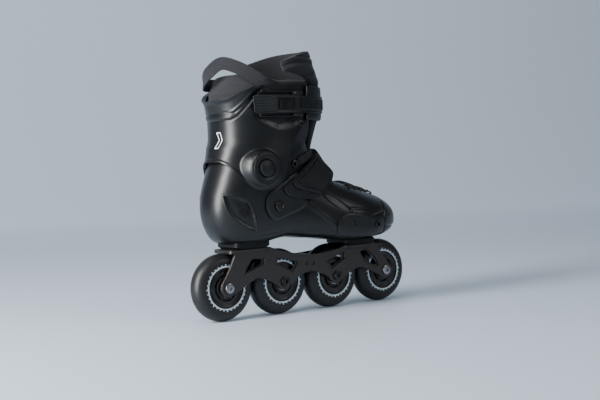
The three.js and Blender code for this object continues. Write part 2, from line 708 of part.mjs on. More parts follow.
// ---------------------------------------------------------------- cuff
// The cuff seen from the side: low round the pivot, raised at the heel and open at the front.
const CUFF_OUTLINE = [
  [-FAR, 190.5], [-128, 190.5], [-122, 185], [-115, 177], [-106, 165], [-97.5, 156], [-89, 152.5],
  [-77, 154], [-62, 160], [-55, 166], [-54, 172], [-57, 178], [-50, 193], [-41, 211], [-31, 222.5],
  [-18, 231.5], [CUFF_FRONT_X, 235], [CUFF_FRONT_X, 274.5], [-65, 274], [-87, 271], [-102, 264],
  [-111, 259.5], [-FAR, 258.5],
];

function cuff() {
  const inner = SHELL_PAD_Y + GAP;
  const boss = (side) =>
    turned(
      [
        [0, side * (inner - 6)],
        [PIVOT_BOSS_RADIUS + PIVOT_BOSS_FLARE, side * (inner - 6)],
        [PIVOT_BOSS_RADIUS + PIVOT_BOSS_FLARE, side * (inner - 1.5)],
        [PIVOT_BOSS_RADIUS, side * PIVOT_FACE_Y],
        [0, side * PIVOT_FACE_Y],
      ],
      ROUND_SIDES,
      PIVOT.x,
      PIVOT.z,
    );
  let made = union(levelSkin(CUFF, 0), boss(1), boss(-1));
  made = made.subtract(levelSkin(CUFF, CUFF_WALL));
  made = made.intersect(sidePrism(polygon(CUFF_OUTLINE), -WIDE, WIDE));
  made = made.subtract(pivotDiscs(SHELL_PAD_RADIUS + 2 * GAP, 10, inner));
  made = made.subtract(pivotDiscs(PIVOT_SHANK_RADIUS + GAP, 10, WIDE));
  made = made.subtract(pivotDiscs(PIVOT_POCKET_RADIUS, PIVOT_FACE_Y - PIVOT_POCKET_DEPTH, WIDE));
  const strapZ = (STRAP_LOW_Z + STRAP_HIGH_Z) / 2;
  made = made.subtract(discY(RIVET_RADIUS + GAP, 10, WIDE, STRAP_RIVET_X, strapZ, SHAFT_SIDES));
  bootPiece("cuff", made, MATERIALS.shell);
}

// A domed bolt from outside and a nut plate on the inside of the shell.
function pivot(name, side, dome) {
  const seat = PIVOT_FACE_Y - PIVOT_POCKET_DEPTH + GAP;
  const nutFace = SHELL_PAD_Y - SHELL_WALL - GAP;
  const nutEnd = nutFace - PIVOT_NUT_THICKNESS;
  const r = PIVOT_HEAD_RADIUS;
  const profile = [
    [0, nutEnd],
    [PIVOT_SHANK_RADIUS, nutEnd],
    [PIVOT_SHANK_RADIUS, seat],
    [r, seat],
    [r, PIVOT_FACE_Y],
    [r * 0.86, PIVOT_FACE_Y + dome * 0.6],
    [r * 0.5, PIVOT_FACE_Y + dome * 0.94],
    [0, PIVOT_FACE_Y + dome],
  ];
  const bolt = turned(profile.map(([x, y]) => [x, side * y]), ROUND_SIDES, PIVOT.x, PIVOT.z);
  bootPiece(`cuff_pivot_bolt_${name}`, bolt, MATERIALS.nylon);
  const nut = [nutEnd, nutFace].map((y) => side * y).sort((a, b) => a - b);
  const plate = ringY(PIVOT_SHANK_RADIUS + 0.1, PIVOT_NUT_RADIUS, ...nut, PIVOT.x, PIVOT.z);
  bootPiece(`cuff_pivot_nut_${name}`, plate, MATERIALS.steel);
}

// The collar and shin tongue move with the cuff, so they stay clear of the shell's top edge.
const COLLAR_OUTLINE = [
  [-FAR, 197], [-112, 197], [-92, 206], [-70, 214], [-45, 229], [-30, 233], [-5, 233], [-5, 283],
  [-50, 283], [-60, 280], [-80, 285], [-100, 289], [-118, 288], [-FAR, 286],
];
const SHIN_OUTLINE = [
  [-4, 233], [FAR, 233], [FAR, 319.5], [11, 319.5], [-15, 316.5], [-36, 309.5], [-50, 300], [-50, 285], [-4, 285],
];

function collar() {
  const made = levelSkin(COLLAR, CUFF_WALL + LINER_GAP)
    .subtract(levelSkin(COLLAR, CUFF_WALL + LINER_GAP + COLLAR_WALL))
    .intersect(sidePrism(polygon(COLLAR_OUTLINE), -WIDE, WIDE))
    .subtract(strapRivetHole(RIVET_HEAD_RADIUS));
  bootPiece("liner_collar", made, MATERIALS.liner);
  const shin = levelSkin(SHIN, 0)
    .subtract(levelSkin(SHIN, COLLAR_WALL))
    .intersect(sidePrism(polygon(SHIN_OUTLINE), -WIDE, WIDE));
  bootPiece("tongue_shin", shin, MATERIALS.liner);
}

// ---------------------------------------------------------------- top buckle
const strapZ = (STRAP_LOW_Z + STRAP_HIGH_Z) / 2;
const strapRivetHole = (radius) => discY(radius, 36, WIDE, STRAP_RIVET_X, strapZ, SHAFT_SIDES);

function ladderStrap() {
  const high = STRAP_HIGH_Z;
  const outer = box(STRAP_OUTER_END_X, FAR, -WIDE, 0, STRAP_LOW_Z, high);
  const inner = box(STRAP_INNER_END_X, FAR, -1, WIDE, STRAP_LOW_Z, high);
  const strap = layer(bandSkin, STRAP_LAYER, union(outer, inner)).subtract(strapRivetHole(RIVET_RADIUS + GAP));
  bootPiece("ladder_strap", strap, MATERIALS.nylon);
  const pad = layer(bandSkin, PAD_LAYER, box(PAD_REAR_X, FAR, -WIDE, WIDE, PAD_LOW_Z, PAD_HIGH_Z));
  bootPiece("shin_band", pad.subtract(strapRivetHole(RIVET_HEAD_RADIUS + 1)), MATERIALS.nylon);
  const low = STRAP_LOW_Z - GAP;
  const guide = box(0, FAR, -GUIDE_HALF_WIDTH, GUIDE_HALF_WIDTH, low - GUIDE_WALL, high + GAP + GUIDE_WALL);
  const made = guide
    .intersect(bandSkin(-STRAP_LAYER[1] - GAP - GUIDE_WALL))
    .subtract(bandSkin(-PAD_LAYER[1] - GAP))
    .subtract(bandSkin(-STRAP_LAYER[1] - GAP).intersect(box(0, FAR, -WIDE, WIDE, low, high + GAP)));
  bootPiece("strap_guide", made, MATERIALS.nylon);
}

// The point on the band's oval on the outer side, a distance outside it, at an x.
function bandPoint(x, distance) {
  const s = stationAt(BAND.map((item) => inset(item, -distance)), 2);
  const share = (s.top[0] - x) / (s.top[0] - s.base[0]);
  const back = share > s.crest;
  const along = back ? (share - s.crest) / (1 - s.crest) : (s.crest - share) / s.crest;
  const power = back ? s.basePower : s.topPower;
  return -s.half * (1 - along ** power) ** (1 / power);
}

const LEVER_PIN_Y = bandPoint(LEVER_PIN_X, (LEVER_LAYER[0] + LEVER_LAYER[1]) / 2);

function buckle() {
  const cuffOutside = (depth) => levelSkin(CUFF, depth);
  const cheeks = [[BASE_LOW_Z, STRAP_LOW_Z - 1], [STRAP_HIGH_Z + 1, BASE_HIGH_Z]].map(([z0, z1]) =>
    layer(cuffOutside, [BASE_LAYER[0], LEVER_LAYER[1] + 0.4], box(LEVER_PIN_X - 5, LEVER_PIN_X + 5, -WIDE, 0, z0, z1)),
  );
  const plate = box(BASE_REAR_X, BASE_FRONT_X, -WIDE, 0, BASE_LOW_Z, BASE_HIGH_Z);
  const base = union(layer(cuffOutside, BASE_LAYER, plate), ...cheeks)
    .subtract(bandSkin(-STRAP_LAYER[1] - GAP).subtract(bandSkin(-STRAP_LAYER[0] + GAP))
      .intersect(box(-FAR, FAR, -WIDE, 0, STRAP_LOW_Z - 1, STRAP_HIGH_Z + 1)))
    .subtract(discZ(LEVER_PIN_RADIUS + 0.1, 200, 300, LEVER_PIN_X, LEVER_PIN_Y, 12));
  bootPiece("buckle_base", base, MATERIALS.nylon);
  const pin = discZ(LEVER_PIN_RADIUS, BASE_LOW_Z, BASE_HIGH_Z, LEVER_PIN_X, LEVER_PIN_Y, 12);
  bootPiece("buckle_lever_pin", pin, MATERIALS.steel);
  const tab = (grow) =>
    box(TAB_REAR_X - grow, TAB_FRONT_X + grow, -WIDE, 0, strapZ - TAB_HALF_HEIGHT - grow, strapZ + TAB_HALF_HEIGHT + grow);
  const whole = box(LEVER_REAR_X, LEVER_PIN_X + LEVER_NOSE, -WIDE, 0, STRAP_LOW_Z - 0.5, STRAP_HIGH_Z + 0.5);
  const lever = layer(bandSkin, LEVER_LAYER, whole)
    .subtract(tab(2 * GAP))
    .subtract(discZ(LEVER_PIN_RADIUS + 0.1, 200, 300, LEVER_PIN_X, LEVER_PIN_Y, 12));
  bootPiece("buckle_lever", lever, MATERIALS.nylon);
  const thin = [LEVER_LAYER[0] + 1, LEVER_LAYER[1]];
  bootPiece("buckle_release_tab", layer(bandSkin, thin, tab(0)), MATERIALS.nylon);
  const strapOut = -bandPoint(STRAP_RIVET_X, STRAP_LAYER[1]);
  const rivet = union(
    discY(RIVET_RADIUS, strapOut - 12, strapOut + 1, STRAP_RIVET_X, strapZ, SHAFT_SIDES),
    discY(RIVET_HEAD_RADIUS - 1.5, strapOut + 0.8, strapOut + 2.2, STRAP_RIVET_X, strapZ, SHAFT_SIDES),
  );
  bootPiece("ladder_strap_rivet", rivet, MATERIALS.steel);
}

// ---------------------------------------------------------------- instep strap
const WING_OUTLINE = [
  [-51, 163], [-75, 150], [-82, 139], [-80, 126], [-69, 117], [-51, 121], [-22, 134], [-30, 170], [-44, 169],
];

// A strip of the strap in the side view, as wide as asked, between two x-like distances.
function strapStrip(halfWidth, from, to) {
  const along = new THREE.Vector2(WEBBING_HIGH.x - WEBBING_LOW.x, WEBBING_HIGH.z - WEBBING_LOW.z);
  const length = along.length();
  along.normalize();
  const corner = (t, side) => [
    WEBBING_LOW.x + along.x * t * length - along.y * side * halfWidth,
    WEBBING_LOW.z + along.y * t * length + along.x * side * halfWidth,
  ];
  return polygon([corner(from, -1), corner(to, -1), corner(to, 1), corner(from, 1)]);
}

function instepStrap() {
  for (const [name, side] of [["outer", -1], ["inner", 1]]) {
    const [y0, y1] = sideOf(side);
    const rivetHole = discY(RIVET_RADIUS + GAP, -WIDE, WIDE, WING_RIVET.x, WING_RIVET.z, SHAFT_SIDES);
    const wing = layer(bootSkin, WING_LAYER, sidePrism(polygon(WING_OUTLINE), y0, y1)).subtract(rivetHole);
    bootPiece(`instep_wing_${name}`, wing, MATERIALS.nylon);
    const out = WING_SEAT_Y;
    const profile = [
      [0, RIVET_END_Y],
      [RIVET_RADIUS, RIVET_END_Y],
      [RIVET_RADIUS, out + GAP],
      [RIVET_HEAD_RADIUS, out + GAP],
      [RIVET_HEAD_RADIUS - 1.5, out + 2],
      [0, out + 2.4],
    ];
    const rivet = turned(profile.map(([r, y]) => [r, side * y]), SHAFT_SIDES, WING_RIVET.x, WING_RIVET.z);
    bootPiece(`instep_rivet_${name}`, rivet, MATERIALS.steel);
  }
  const webbing = layer(bootSkin, WEBBING_LAYER, sidePrism(strapStrip(WEBBING_HALF_WIDTH, 0.16, 1.4), -WIDE, WIDE));
  bootPiece("instep_strap", webbing, MATERIALS.webbing);
  const flapArea = union(
    sidePrism(strapStrip(FLAP_HALF_WIDTH, 0.3, 1.4), -WIDE, 0),
    sidePrism(strapStrip(FLAP_HALF_WIDTH, 0.82, 1.4), -1, WIDE),
  );
  bootPiece("instep_strap_flap", layer(bootSkin, FLAP_LAYER, flapArea), MATERIALS.webbing);
  const patchArea = sidePrism(strapStrip(FLAP_HALF_WIDTH - 3.5, 0.36, 0.78), -WIDE, 0);
  bootPiece("instep_strap_patch", layer(bootSkin, PATCH_LAYER, patchArea), MATERIALS.rubber);
}

// ---------------------------------------------------------------- small outside pieces
const PLATE_OUTLINE = [
  [21, 99], [22, 108], [28, 116], [42, 119], [62, 115], [85, 109], [84, 91.5], [55, 90], [26, 93],
];

function wearPlates() {
  for (const [name, side] of [["outer", -1], ["inner", 1]]) {
    const [y0, y1] = sideOf(side);
    const plate = layer(bootSkin, PLATE_LAYER, sidePrism(polygon(PLATE_OUTLINE), y0, y1));
    bootPiece(`wear_plate_${name}`, plate, MATERIALS.nylon);
  }
}

const at = (x, y, z) => new THREE.Vector3(x, y, z);

// The band loop at the heel, which stands up over the rim.
const LOOP_ROUTE = [
  at(-46, -48.6, 287), at(-62, -49, 292), at(-80, -45, 299.5), at(-98, -34.5, 305), at(-113, -17, 306),
  at(-121, 3, 301), at(-119, 22, 294), at(-107, 38, 290), at(-88, 48.6, 289.5), at(-76, 50.2, 289.5),
];

function heelLoop() {
  const curve = new THREE.CatmullRomCurve3(LOOP_ROUTE);
  const up = at(0, 0, 1);
  const rings = [];
  const steps = 26;
  for (let i = 0; i <= steps; i++) {
    const middle = curve.getPointAt(i / steps);
    const ahead = curve.getTangentAt(i / steps);
    const out = ahead.clone().cross(up).normalize();
    const rise = out.clone().cross(ahead).normalize().multiplyScalar(LOOP_WIDTH / 2);
    out.multiplyScalar(LOOP_THICKNESS / 2);
    rings.push([
      middle.clone().add(out).add(rise),
      middle.clone().sub(out).add(rise),
      middle.clone().sub(out).sub(rise),
      middle.clone().add(out).sub(rise),
    ]);
  }
  bootPiece("heel_pull_loop", skin(rings), MATERIALS.webbing);
}

// Height of the boot's instep line over an x.
function instepZ(x) {
  const i = BOOT.findIndex((s, k) => k + 1 < BOOT.length && BOOT[k + 1].top[0] <= x && s.top[0] >= x);
  const a = BOOT[i].top;
  const b = BOOT[i + 1].top;
  return THREE.MathUtils.mapLinear(x, a[0], b[0], a[1], b[1]);
}

const LACE_ROWS = [99, 88.5, 78, 67.5, 57];

function lace() {
  const side = (x) => THREE.MathUtils.mapLinear(x, 30, SLOT_TOE_X - 10, SLOT_HALF_ANKLE, SLOT_HALF_TOE) + 5;
  const seat = (x, sign) => at(x, sign * side(x), instepZ(x) - side(x) ** 2 / 260 + LACE_RADIUS + 5 * GAP);
  const middleZ = (x, lift) => instepZ(x) - TONGUE_DEPTH + LACE_RADIUS + 2 * GAP + lift;
  const strand = (first, lift) =>
    LACE_ROWS.slice(1).flatMap((x, i) => {
      const sign = i % 2 === 0 ? first : -first;
      const from = (LACE_ROWS[i] + x) / 2;
      return [at(from, 0, middleZ(from, lift)), seat(x, sign)];
    });
  const one = strand(1, 0);
  const two = strand(-1, 2 * LACE_RADIUS + 2 * GAP);
  const route = [...one.reverse(), seat(LACE_ROWS[0], -1), seat(LACE_ROWS[0], 1), ...two];
  const curve = new THREE.CatmullRomCurve3(route, false, "centripetal");
  const steps = 60;
  const rings = [];
  for (let i = 0; i <= steps; i++) {
    const middle = curve.getPointAt(i / steps);
    const across = curve.getTangentAt(i / steps).cross(at(0, 0, 1)).normalize();
    const rise = across.clone().cross(curve.getTangentAt(i / steps)).normalize();
    rings.push(
      Array.from({ length: 6 }, (_, k) => {
        const angle = (k * CIRCLE) / 6;
        return middle
          .clone()
          .addScaledVector(across, LACE_RADIUS * Math.cos(angle))
          .addScaledVector(rise, LACE_RADIUS * Math.sin(angle));
      }),
    );
  }
  bootPiece("lace", skin(rings), MATERIALS.webbing);
}

root.add(...axleX.map((x, i) => wheel(i + 1, x)));
axleX.forEach((x, i) => axleBolt(i + 1, x));
frame();
shell();
const sole = bootSkin(-2 * GAP).translate([0, 0, BOOT_LIFT]);
mount("rear", MOUNT_REAR_X, HEEL_DECK_Z, -112, -62, sole);
mount("front", MOUNT_FRONT_X, TOE_DECK_Z, 54, 103, sole);
liner();
cuff();
pivot("outer", -1, PIVOT_DOME.outer);
pivot("inner", 1, PIVOT_DOME.inner);
collar();
ladderStrap();
buckle();
instepStrap();
wearPlates();
heelLoop();
lace();

export default root;
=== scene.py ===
"""One inline skate: soft boot, cuff, straps, wheels and frame, built round the packed frame model."""
import math

import bmesh
import bpy
import numpy as np
from mathutils import Matrix, Vector


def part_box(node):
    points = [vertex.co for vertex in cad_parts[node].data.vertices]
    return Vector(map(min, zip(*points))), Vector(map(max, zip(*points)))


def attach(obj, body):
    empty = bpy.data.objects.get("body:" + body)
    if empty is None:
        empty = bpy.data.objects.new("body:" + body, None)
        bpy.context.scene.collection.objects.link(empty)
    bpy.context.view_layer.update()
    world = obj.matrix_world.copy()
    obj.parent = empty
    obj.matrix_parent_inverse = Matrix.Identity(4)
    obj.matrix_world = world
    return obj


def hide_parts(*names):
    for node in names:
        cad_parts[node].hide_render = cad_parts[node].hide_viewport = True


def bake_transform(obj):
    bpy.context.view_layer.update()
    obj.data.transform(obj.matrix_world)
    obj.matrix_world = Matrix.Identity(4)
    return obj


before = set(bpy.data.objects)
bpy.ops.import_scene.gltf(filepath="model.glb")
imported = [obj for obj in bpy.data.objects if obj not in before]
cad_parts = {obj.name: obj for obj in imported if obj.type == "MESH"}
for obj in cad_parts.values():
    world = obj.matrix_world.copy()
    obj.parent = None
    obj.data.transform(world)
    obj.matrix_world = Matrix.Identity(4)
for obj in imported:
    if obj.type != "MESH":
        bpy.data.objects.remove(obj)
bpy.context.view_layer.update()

bl_info = {
    "name": "Inline skate",
    "version": (1, 0, 0),
    "blender": (4, 5, 0),
    "location": "3D View > Sidebar > Skate",
    "description": "Builds an inline skate from surfaces and procedural finishes",
    "category": "Object",
}

MM = 0.001
ROOT = "boot_and_frame"
CUFF_BODY = "cuff_group"
PIVOT_X, PIVOT_Z = -85.0, 178.0
AXLES = [-121.5, -40.5, 40.5, 121.5]
AXLE_Z = 40.0
SIDES = ((-1, "outer"), (1, "inner"))
CUFF_FACE_Y = 52.0  # outer face of the cuff at its pivots
SHELL_PAD_Y = 46.6  # outer face of the shell at the same place
PAD_RADIUS = 19.2
STRAP_Z = 251.5  # height of the buckle's middle line

# ------------------------------------------------------------------ sections of the boot
# Each row is one section: front point x, z; back point x, z; half width; share of the way from
# front to back where it is widest; and the powers of its front and back superellipse halves.
BOOT = np.array([
    [142.8, 111.7, 142.8, 101.5, 11.8, 0.5, 2, 2.2],
    [140.3, 120.8, 139.8, 94.4, 23, 0.5, 2, 2.4],
    [134.4, 127.2, 132.4, 90.2, 31.6, 0.52, 2.1, 2.8],
    [123.4, 133.6, 118.6, 87.4, 39.4, 0.55, 2.1, 3.4],
    [108.2, 139.6, 101.3, 85.4, 45.6, 0.58, 2.1, 4],
    [89.3, 145.6, 82.2, 84.9, 49.9, 0.6, 2, 4],
    [71.7, 151, 59.7, 84.4, 51.3, 0.6, 2, 4],
    [54.5, 156.8, 37, 85, 49.5, 0.6, 2, 3.8],
    [39.5, 163.4, 12, 88.5, 45.5, 0.58, 2, 3.6],
    [30, 172.4, -14, 91, 42.5, 0.56, 2, 3.4],
    [22, 181, -42, 93.5, 41, 0.55, 2, 3.4],
    [17, 188, -72, 89.4, 40.5, 0.55, 2.1, 3.4],
    [13, 194, -98.4, 88.8, 41, 0.55, 2.1, 3.2],
    [11, 199, -120.5, 92.2, 42, 0.55, 2.1, 2.8],
    [9, 203, -133, 106.8, 42.6, 0.55, 2.1, 2.5],
    [7, 208, -138.2, 126, 43, 0.55, 2.1, 2.4],
    [6, 213, -137.5, 146, 43.6, 0.55, 2.1, 2.25],
    [5, 219, -131.5, 166, 43.6, 0.55, 2.1, 2.2],
    [5, 226, -124.5, 185, 43.8, 0.54, 2.1, 2.2],
    [5, 236, -120, 204, 44.4, 0.52, 2.2, 2.2],
])
WIDEST_X = -57.0


def level(z, front, back, half, front_power=2.3, back_power=2.3):
    """A section level with the floor, widest at WIDEST_X."""
    crest = (front - WIDEST_X) / (front - back)
    return [front, z, back, z, half, crest, front_power, back_power]


CUFF = np.array([
    level(148, 5, -141, 49.2),
    level(165, 7, -139, 51),
    level(180, 9, -134.5, 51),
    level(190, 10, -131, 50.9),
    level(200, 11, -126, 50.5),
    level(213, 12, -121.5, 50),
    level(237, 13, -121.5, 50),
    level(246, 14, -123, 50.4),
    level(261, 16, -127, 51),
    level(282, 18, -133, 52.5),
])
COLLAR = np.array([
    level(150, 4, -136, 43),
    level(170, 4, -129.5, 43),
    level(190, 4, -122.5, 43.2),
    level(204, 5, -119.5, 44.4),
    level(220, 10, -120.5, 48.4),
    level(237, 13, -121.5, 50),
    level(261, 15, -121.5, 50.2),
    level(275, 15, -117, 49.5),
    level(289, 15, -109, 48.5),
    level(302, 15, -100, 47),
])
BAND = np.array([
    level(225, 22, -124, 50.4, 2.2),
    level(237, 23, -124, 50.7, 2.2),
    level(249, 23.5, -125.5, 50.9, 2.2),
    level(261, 23.5, -127.5, 51.2, 2.2),
    level(275, 23, -131, 52, 2.2),
    level(290, 22, -132, 52.4, 2.2),
])
# The tongue lies in the instep slot and then stands up the shin.
TONGUE = np.vstack([
    BOOT[3:13],
    [[14, 203, -116, 128, 42.5, 0.55, 2.1, 2.3]],
    [[17, 214, -118, 178, 43.5, 0.55, 2.1, 2.3]],
    [
        level(228, 20, -112, 44.5, 2.2),
        level(240, 23.5, -112, 46.5, 2.2),
        level(260, 24, -112, 47.5, 2.2),
        level(281, 22.5, -112, 47.5, 2.2),
        level(292, 18.5, -112, 47, 2.2),
        level(308, 14, -110, 45.5, 2.2),
        level(324, 8, -108, 43, 2.2),
    ],
])

SHELL_EDGE = np.array([
    [-200, 195], [-112, 195], [-92, 198], [-70, 204], [-45, 218], [-30, 220], [0, 214], [60, 208], [200, 208],
])
CUFF_LOW = np.array([
    [-200, 187.5], [-130, 186.5], [-124, 181], [-117, 171], [-107, 160.5], [-98, 154.2], [-89, 152],
    [-77, 153.4], [-67, 158], [-61, 164], [-57, 172], [-54, 183], [-50, 193], [-41, 211],
    [-31, 222.5], [-18, 231.5], [-8, 235], [200, 235],
])
CUFF_HIGH = np.array([
    [-200, 258], [-126, 258], [-119, 260], [-109, 266.5], [-97, 272], [-85, 274], [-8, 274.5], [200, 274.5],
])
COLLAR_HIGH = np.array([
    [-200, 286], [-118, 288], [-100, 289], [-80, 285], [-60, 280], [-40, 281], [200, 283],
])


def size(name):
    """One of the sizes of the panel, in millimetres."""
    return getattr(bpy.context.scene.skate_sizes, name) / MM


def along(line, x):
    """Height of a side-view line over x."""
    return np.interp(x, line[:, 0], line[:, 1])


def smooth(low, high, value):
    """0 below low, 1 above high, and 3t^2 - 2t^3 between."""
    t = np.clip((value - low) / (high - low), 0, 1)
    return t * t * (3 - 2 * t)


def section_at(table, place):
    """Rows of a table at fractional places, on a Catmull-Rom curve through them."""
    last = len(table) - 1
    i = np.clip(np.floor(place).astype(int), 0, last - 1)
    t = (place - i)[..., None]
    a, b, c, d = (table[np.clip(i + k, 0, last)] for k in (-1, 0, 1, 2))
    return 0.5 * (2 * b + (c - a) * t + (2 * a - 5 * b + 4 * c - d) * t**2 + (3 * b - a - 3 * c + d) * t**3)


def toe_lean(x):
    """How far the toe leans to the inner side: 11 mm times the square of the share past x = 55."""
    return 11 * np.clip((x - 55) / 90, 0, 1) ** 2


def skin_at(table, place, angle, depth=0.0):
    """Points of a lofted skin, moved inward by depth.

    At angle w the point is the share s of the way from the front point to the back point, and
    y = half |sin w|^(2/p) with its sign. s = crest (1 - |cos w|^(2/p)) in front of the widest
    place, and crest + (1 - crest) |cos w|^(2/p) behind it.
    """
    place, angle = np.broadcast_arrays(np.asarray(place, float), np.asarray(angle, float))
    s = section_at(table, place)
    run = np.stack([s[..., 2] - s[..., 0], s[..., 3] - s[..., 1]], -1)
    run /= np.linalg.norm(run, axis=-1, keepdims=True)
    shift = depth * np.clip((s[..., 2] - 92) / 50, 0, 1)
    tx = s[..., 0] + run[..., 0] * depth - shift
    tz = s[..., 1] + run[..., 1] * depth
    bx = s[..., 2] - run[..., 0] * depth - shift
    bz = s[..., 3] - run[..., 1] * depth
    c = np.cos(angle)
    power = 2 / np.where(c >= 0, s[..., 6], s[..., 7])
    reach = np.abs(c) ** power
    share = np.where(c >= 0, s[..., 5] * (1 - reach), s[..., 5] + (1 - s[..., 5]) * reach)
    sine = np.sin(angle)
    y = (s[..., 4] - depth) * np.abs(sine) ** power * np.sign(sine)
    x = tx + (bx - tx) * share
    return np.stack([x, y + toe_lean(x), tz + (bz - tz) * share], -1)


def level_skin(table, z, angle, depth=0.0):
    """skin_at for a table of level sections, by height instead of place."""
    place = np.interp(z, table[:, 1], np.arange(len(table)))
    points = skin_at(table, place, angle, depth)
    points[..., 2] = z
    return points


def solve(low, high, reached, steps=30):
    """Halves the span again and again: the place from which reached() is true."""
    for _ in range(steps):
        middle = (low + high) / 2
        yes = reached(middle)
        low, high = np.where(yes, low, middle), np.where(yes, middle, high)
    return (low + high) / 2


# ------------------------------------------------------------------ meshes
def link(name, mesh):
    """Puts a mesh into the scene as an object at the origin."""
    piece = bpy.data.objects.new(name, mesh)
    bpy.context.scene.collection.objects.link(piece)
    return piece


def finish_piece(piece, material, body, replaces=(), crease=35.0):
    """Gives a piece its material, shading, body and slot."""
    piece.data.materials.clear()
    piece.data.materials.append(material)
    mesh = piece.data
    mesh.polygons.foreach_set("use_smooth", np.ones(len(mesh.polygons), bool))
    if crease:
        mesh.set_sharp_from_angle(angle=math.radians(crease))
    if isinstance(body, str):
        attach(piece, body)
    else:
        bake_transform(piece)
    if replaces:
        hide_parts(*replaces)
    return piece


def arc_lengths(points, axis):
    """Distance in metres along one axis of a grid, from its first line."""
    steps = np.linalg.norm(np.diff(points, axis=axis), axis=-1).mean(axis=1 - axis)
    return np.concatenate([[0], np.cumsum(steps)])


def mesh_from(name, points, faces, uvs):
    """A mesh from millimetre points, quads and one UV pair for each corner of each quad."""
    mesh = bpy.data.meshes.new(name)
    mesh.from_pydata((points * MM).tolist(), [], faces.tolist())
    layer = mesh.uv_layers.new(name="UVMap")
    layer.data.foreach_set("uv", uvs.ravel())
    work = bmesh.new()
    work.from_mesh(mesh)
    bmesh.ops.remove_doubles(work, verts=work.verts, dist=2e-6)
    bmesh.ops.dissolve_degenerate(work, edges=work.edges, dist=1e-7)
    bmesh.ops.recalc_face_normals(work, faces=work.faces)
    work.to_mesh(mesh)
    work.free()
    mesh.update()
    return mesh


def quads(ids, flip=False):
    """Quads of a grid of vertex numbers."""
    corners = [ids[:-1, :-1], ids[1:, :-1], ids[1:, 1:], ids[:-1, 1:]]
    out = np.stack(corners, -1).reshape(-1, 4)
    return out[:, ::-1] if flip else out


def quad_uvs(u, v, flip=False):
    """UV pairs of each quad's corners, from the distances along both sides of its grid."""
    grid = np.stack(np.broadcast_arrays(u[:, None], v[None, :]), -1)
    corners = [grid[:-1, :-1], grid[1:, :-1], grid[1:, 1:], grid[:-1, 1:]]
    out = np.stack(corners, -2).reshape(-1, 4, 2)
    return out[:, ::-1] if flip else out


def slab(name, outer, inner, weld_rows=0, wrap=False, cap_start=False):
    """A closed wall between two grids of points, with sides along its open borders.

    weld_rows joins the first and last column over that many rows; wrap joins them all.
    """
    rows, columns = outer.shape[:2]
    ids = np.arange(rows * columns).reshape(rows, columns)
    far = ids + rows * columns
    if wrap:
        weld_rows = rows
    if weld_rows:
        ids[:weld_rows, -1] = ids[:weld_rows, 0]
        far[:weld_rows, -1] = far[:weld_rows, 0]
    u = arc_lengths(outer, 0) * MM
    v = arc_lengths(outer, 1) * MM
    faces = [quads(ids), quads(far, True)]
    uvs = [quad_uvs(u, v), quad_uvs(u, v, True)]
    borders = [(ids[-1], far[-1], v, u[-1])]
    if not cap_start:
        borders.append((ids[0], far[0], v, u[0]))
    if weld_rows < rows:
        start = max(weld_rows - 1, 0)
        borders.append((ids[start:, 0], far[start:, 0], u[start:], v[0]))
        borders.append((ids[start:, -1], far[start:, -1], u[start:], v[-1]))
    for a, b, path, across in borders:
        strip = np.stack([a, b])
        faces.append(quads(strip))
        edge = np.array([across, across + 0.002])
        uvs.append(quad_uvs(edge, path))
    points = np.concatenate([outer.reshape(-1, 3), inner.reshape(-1, 3)])
    return link(name, mesh_from(name, points, np.concatenate(faces), np.concatenate(uvs)))


def closed_grid(name, points, wrap_rows=False):
    """A closed skin: columns join round; rows join too, or shrink to points at the ends."""
    rows, columns = points.shape[:2]
    ids = np.arange(rows * columns).reshape(rows, columns)
    ids = np.concatenate([ids, ids[:, :1]], 1)
    u = arc_lengths(points, 0) * MM
    v = arc_lengths(points, 1) * MM
    v = np.append(v, v[-1] * (1 + 1 / max(columns - 1, 1)))
    if wrap_rows:
        ids = np.concatenate([ids, ids[:1]], 0)
        u = np.append(u, u[-1] * (1 + 1 / max(rows - 1, 1)))
    return link(name, mesh_from(name, points.reshape(-1, 3), quads(ids), quad_uvs(u, v)))


def turned(name, profile, x, z, sides=96, ripple=None):
    """A profile of [radius, y] carried round the Y axis through (x, z), closed on itself.

    ripple(radius, y, angle) gives a new y where the face is not the same all round.
    """
    angle = np.linspace(0, 2 * np.pi, sides, endpoint=False)[None, :]
    radius = np.asarray(profile, float)[:, 0][:, None] + 0 * angle
    y = np.asarray(profile, float)[:, 1][:, None] + 0 * angle
    if ripple:
        y = ripple(radius, y, angle + 0 * radius)
    points = np.stack([x + radius * np.cos(angle), y, z + radius * np.sin(angle)], -1)
    return closed_grid(name, points, wrap_rows=True)


def smooth_path(points, count):
    """count points on a Catmull-Rom curve through the given ones, evenly spaced."""
    points = np.asarray(points, float)
    fine = section_at(points, np.linspace(0, len(points) - 1, 40 * len(points)))
    run = np.concatenate([[0], np.cumsum(np.linalg.norm(np.diff(fine, axis=0), axis=1))])
    want = np.linspace(0, run[-1], count)
    return np.stack([np.interp(want, run, fine[:, k]) for k in range(points.shape[1])], -1)


def tube(name, path, radius, sides=10):
    """A round cord along a path: centre + r (side cos a + up sin a), closed at both ends."""
    ahead = np.gradient(path, axis=0)
    ahead /= np.linalg.norm(ahead, axis=1, keepdims=True)
    side = np.cross(ahead, [0, 0, 1])
    side /= np.linalg.norm(side, axis=1, keepdims=True)
    up = np.cross(side, ahead)
    a = np.linspace(0, 2 * np.pi, sides, endpoint=False)[None, :, None]
    size = np.full(len(path), radius)
    size[[0, -1]] = radius * 0.02
    size = size[:, None, None]
    points = path[:, None] + size * (side[:, None] * np.cos(a) + up[:, None] * np.sin(a))
    return closed_grid(name, points)


def bevel(piece, width, segments=2, angle=40):
    """Rounds a piece's sharp edges."""
    mod = piece.modifiers.new("edge_round", "BEVEL")
    mod.width = width * MM
    mod.segments = segments
    mod.limit_method = "ANGLE"
    mod.angle_limit = math.radians(angle)
    mod.harden_normals = False
    return piece


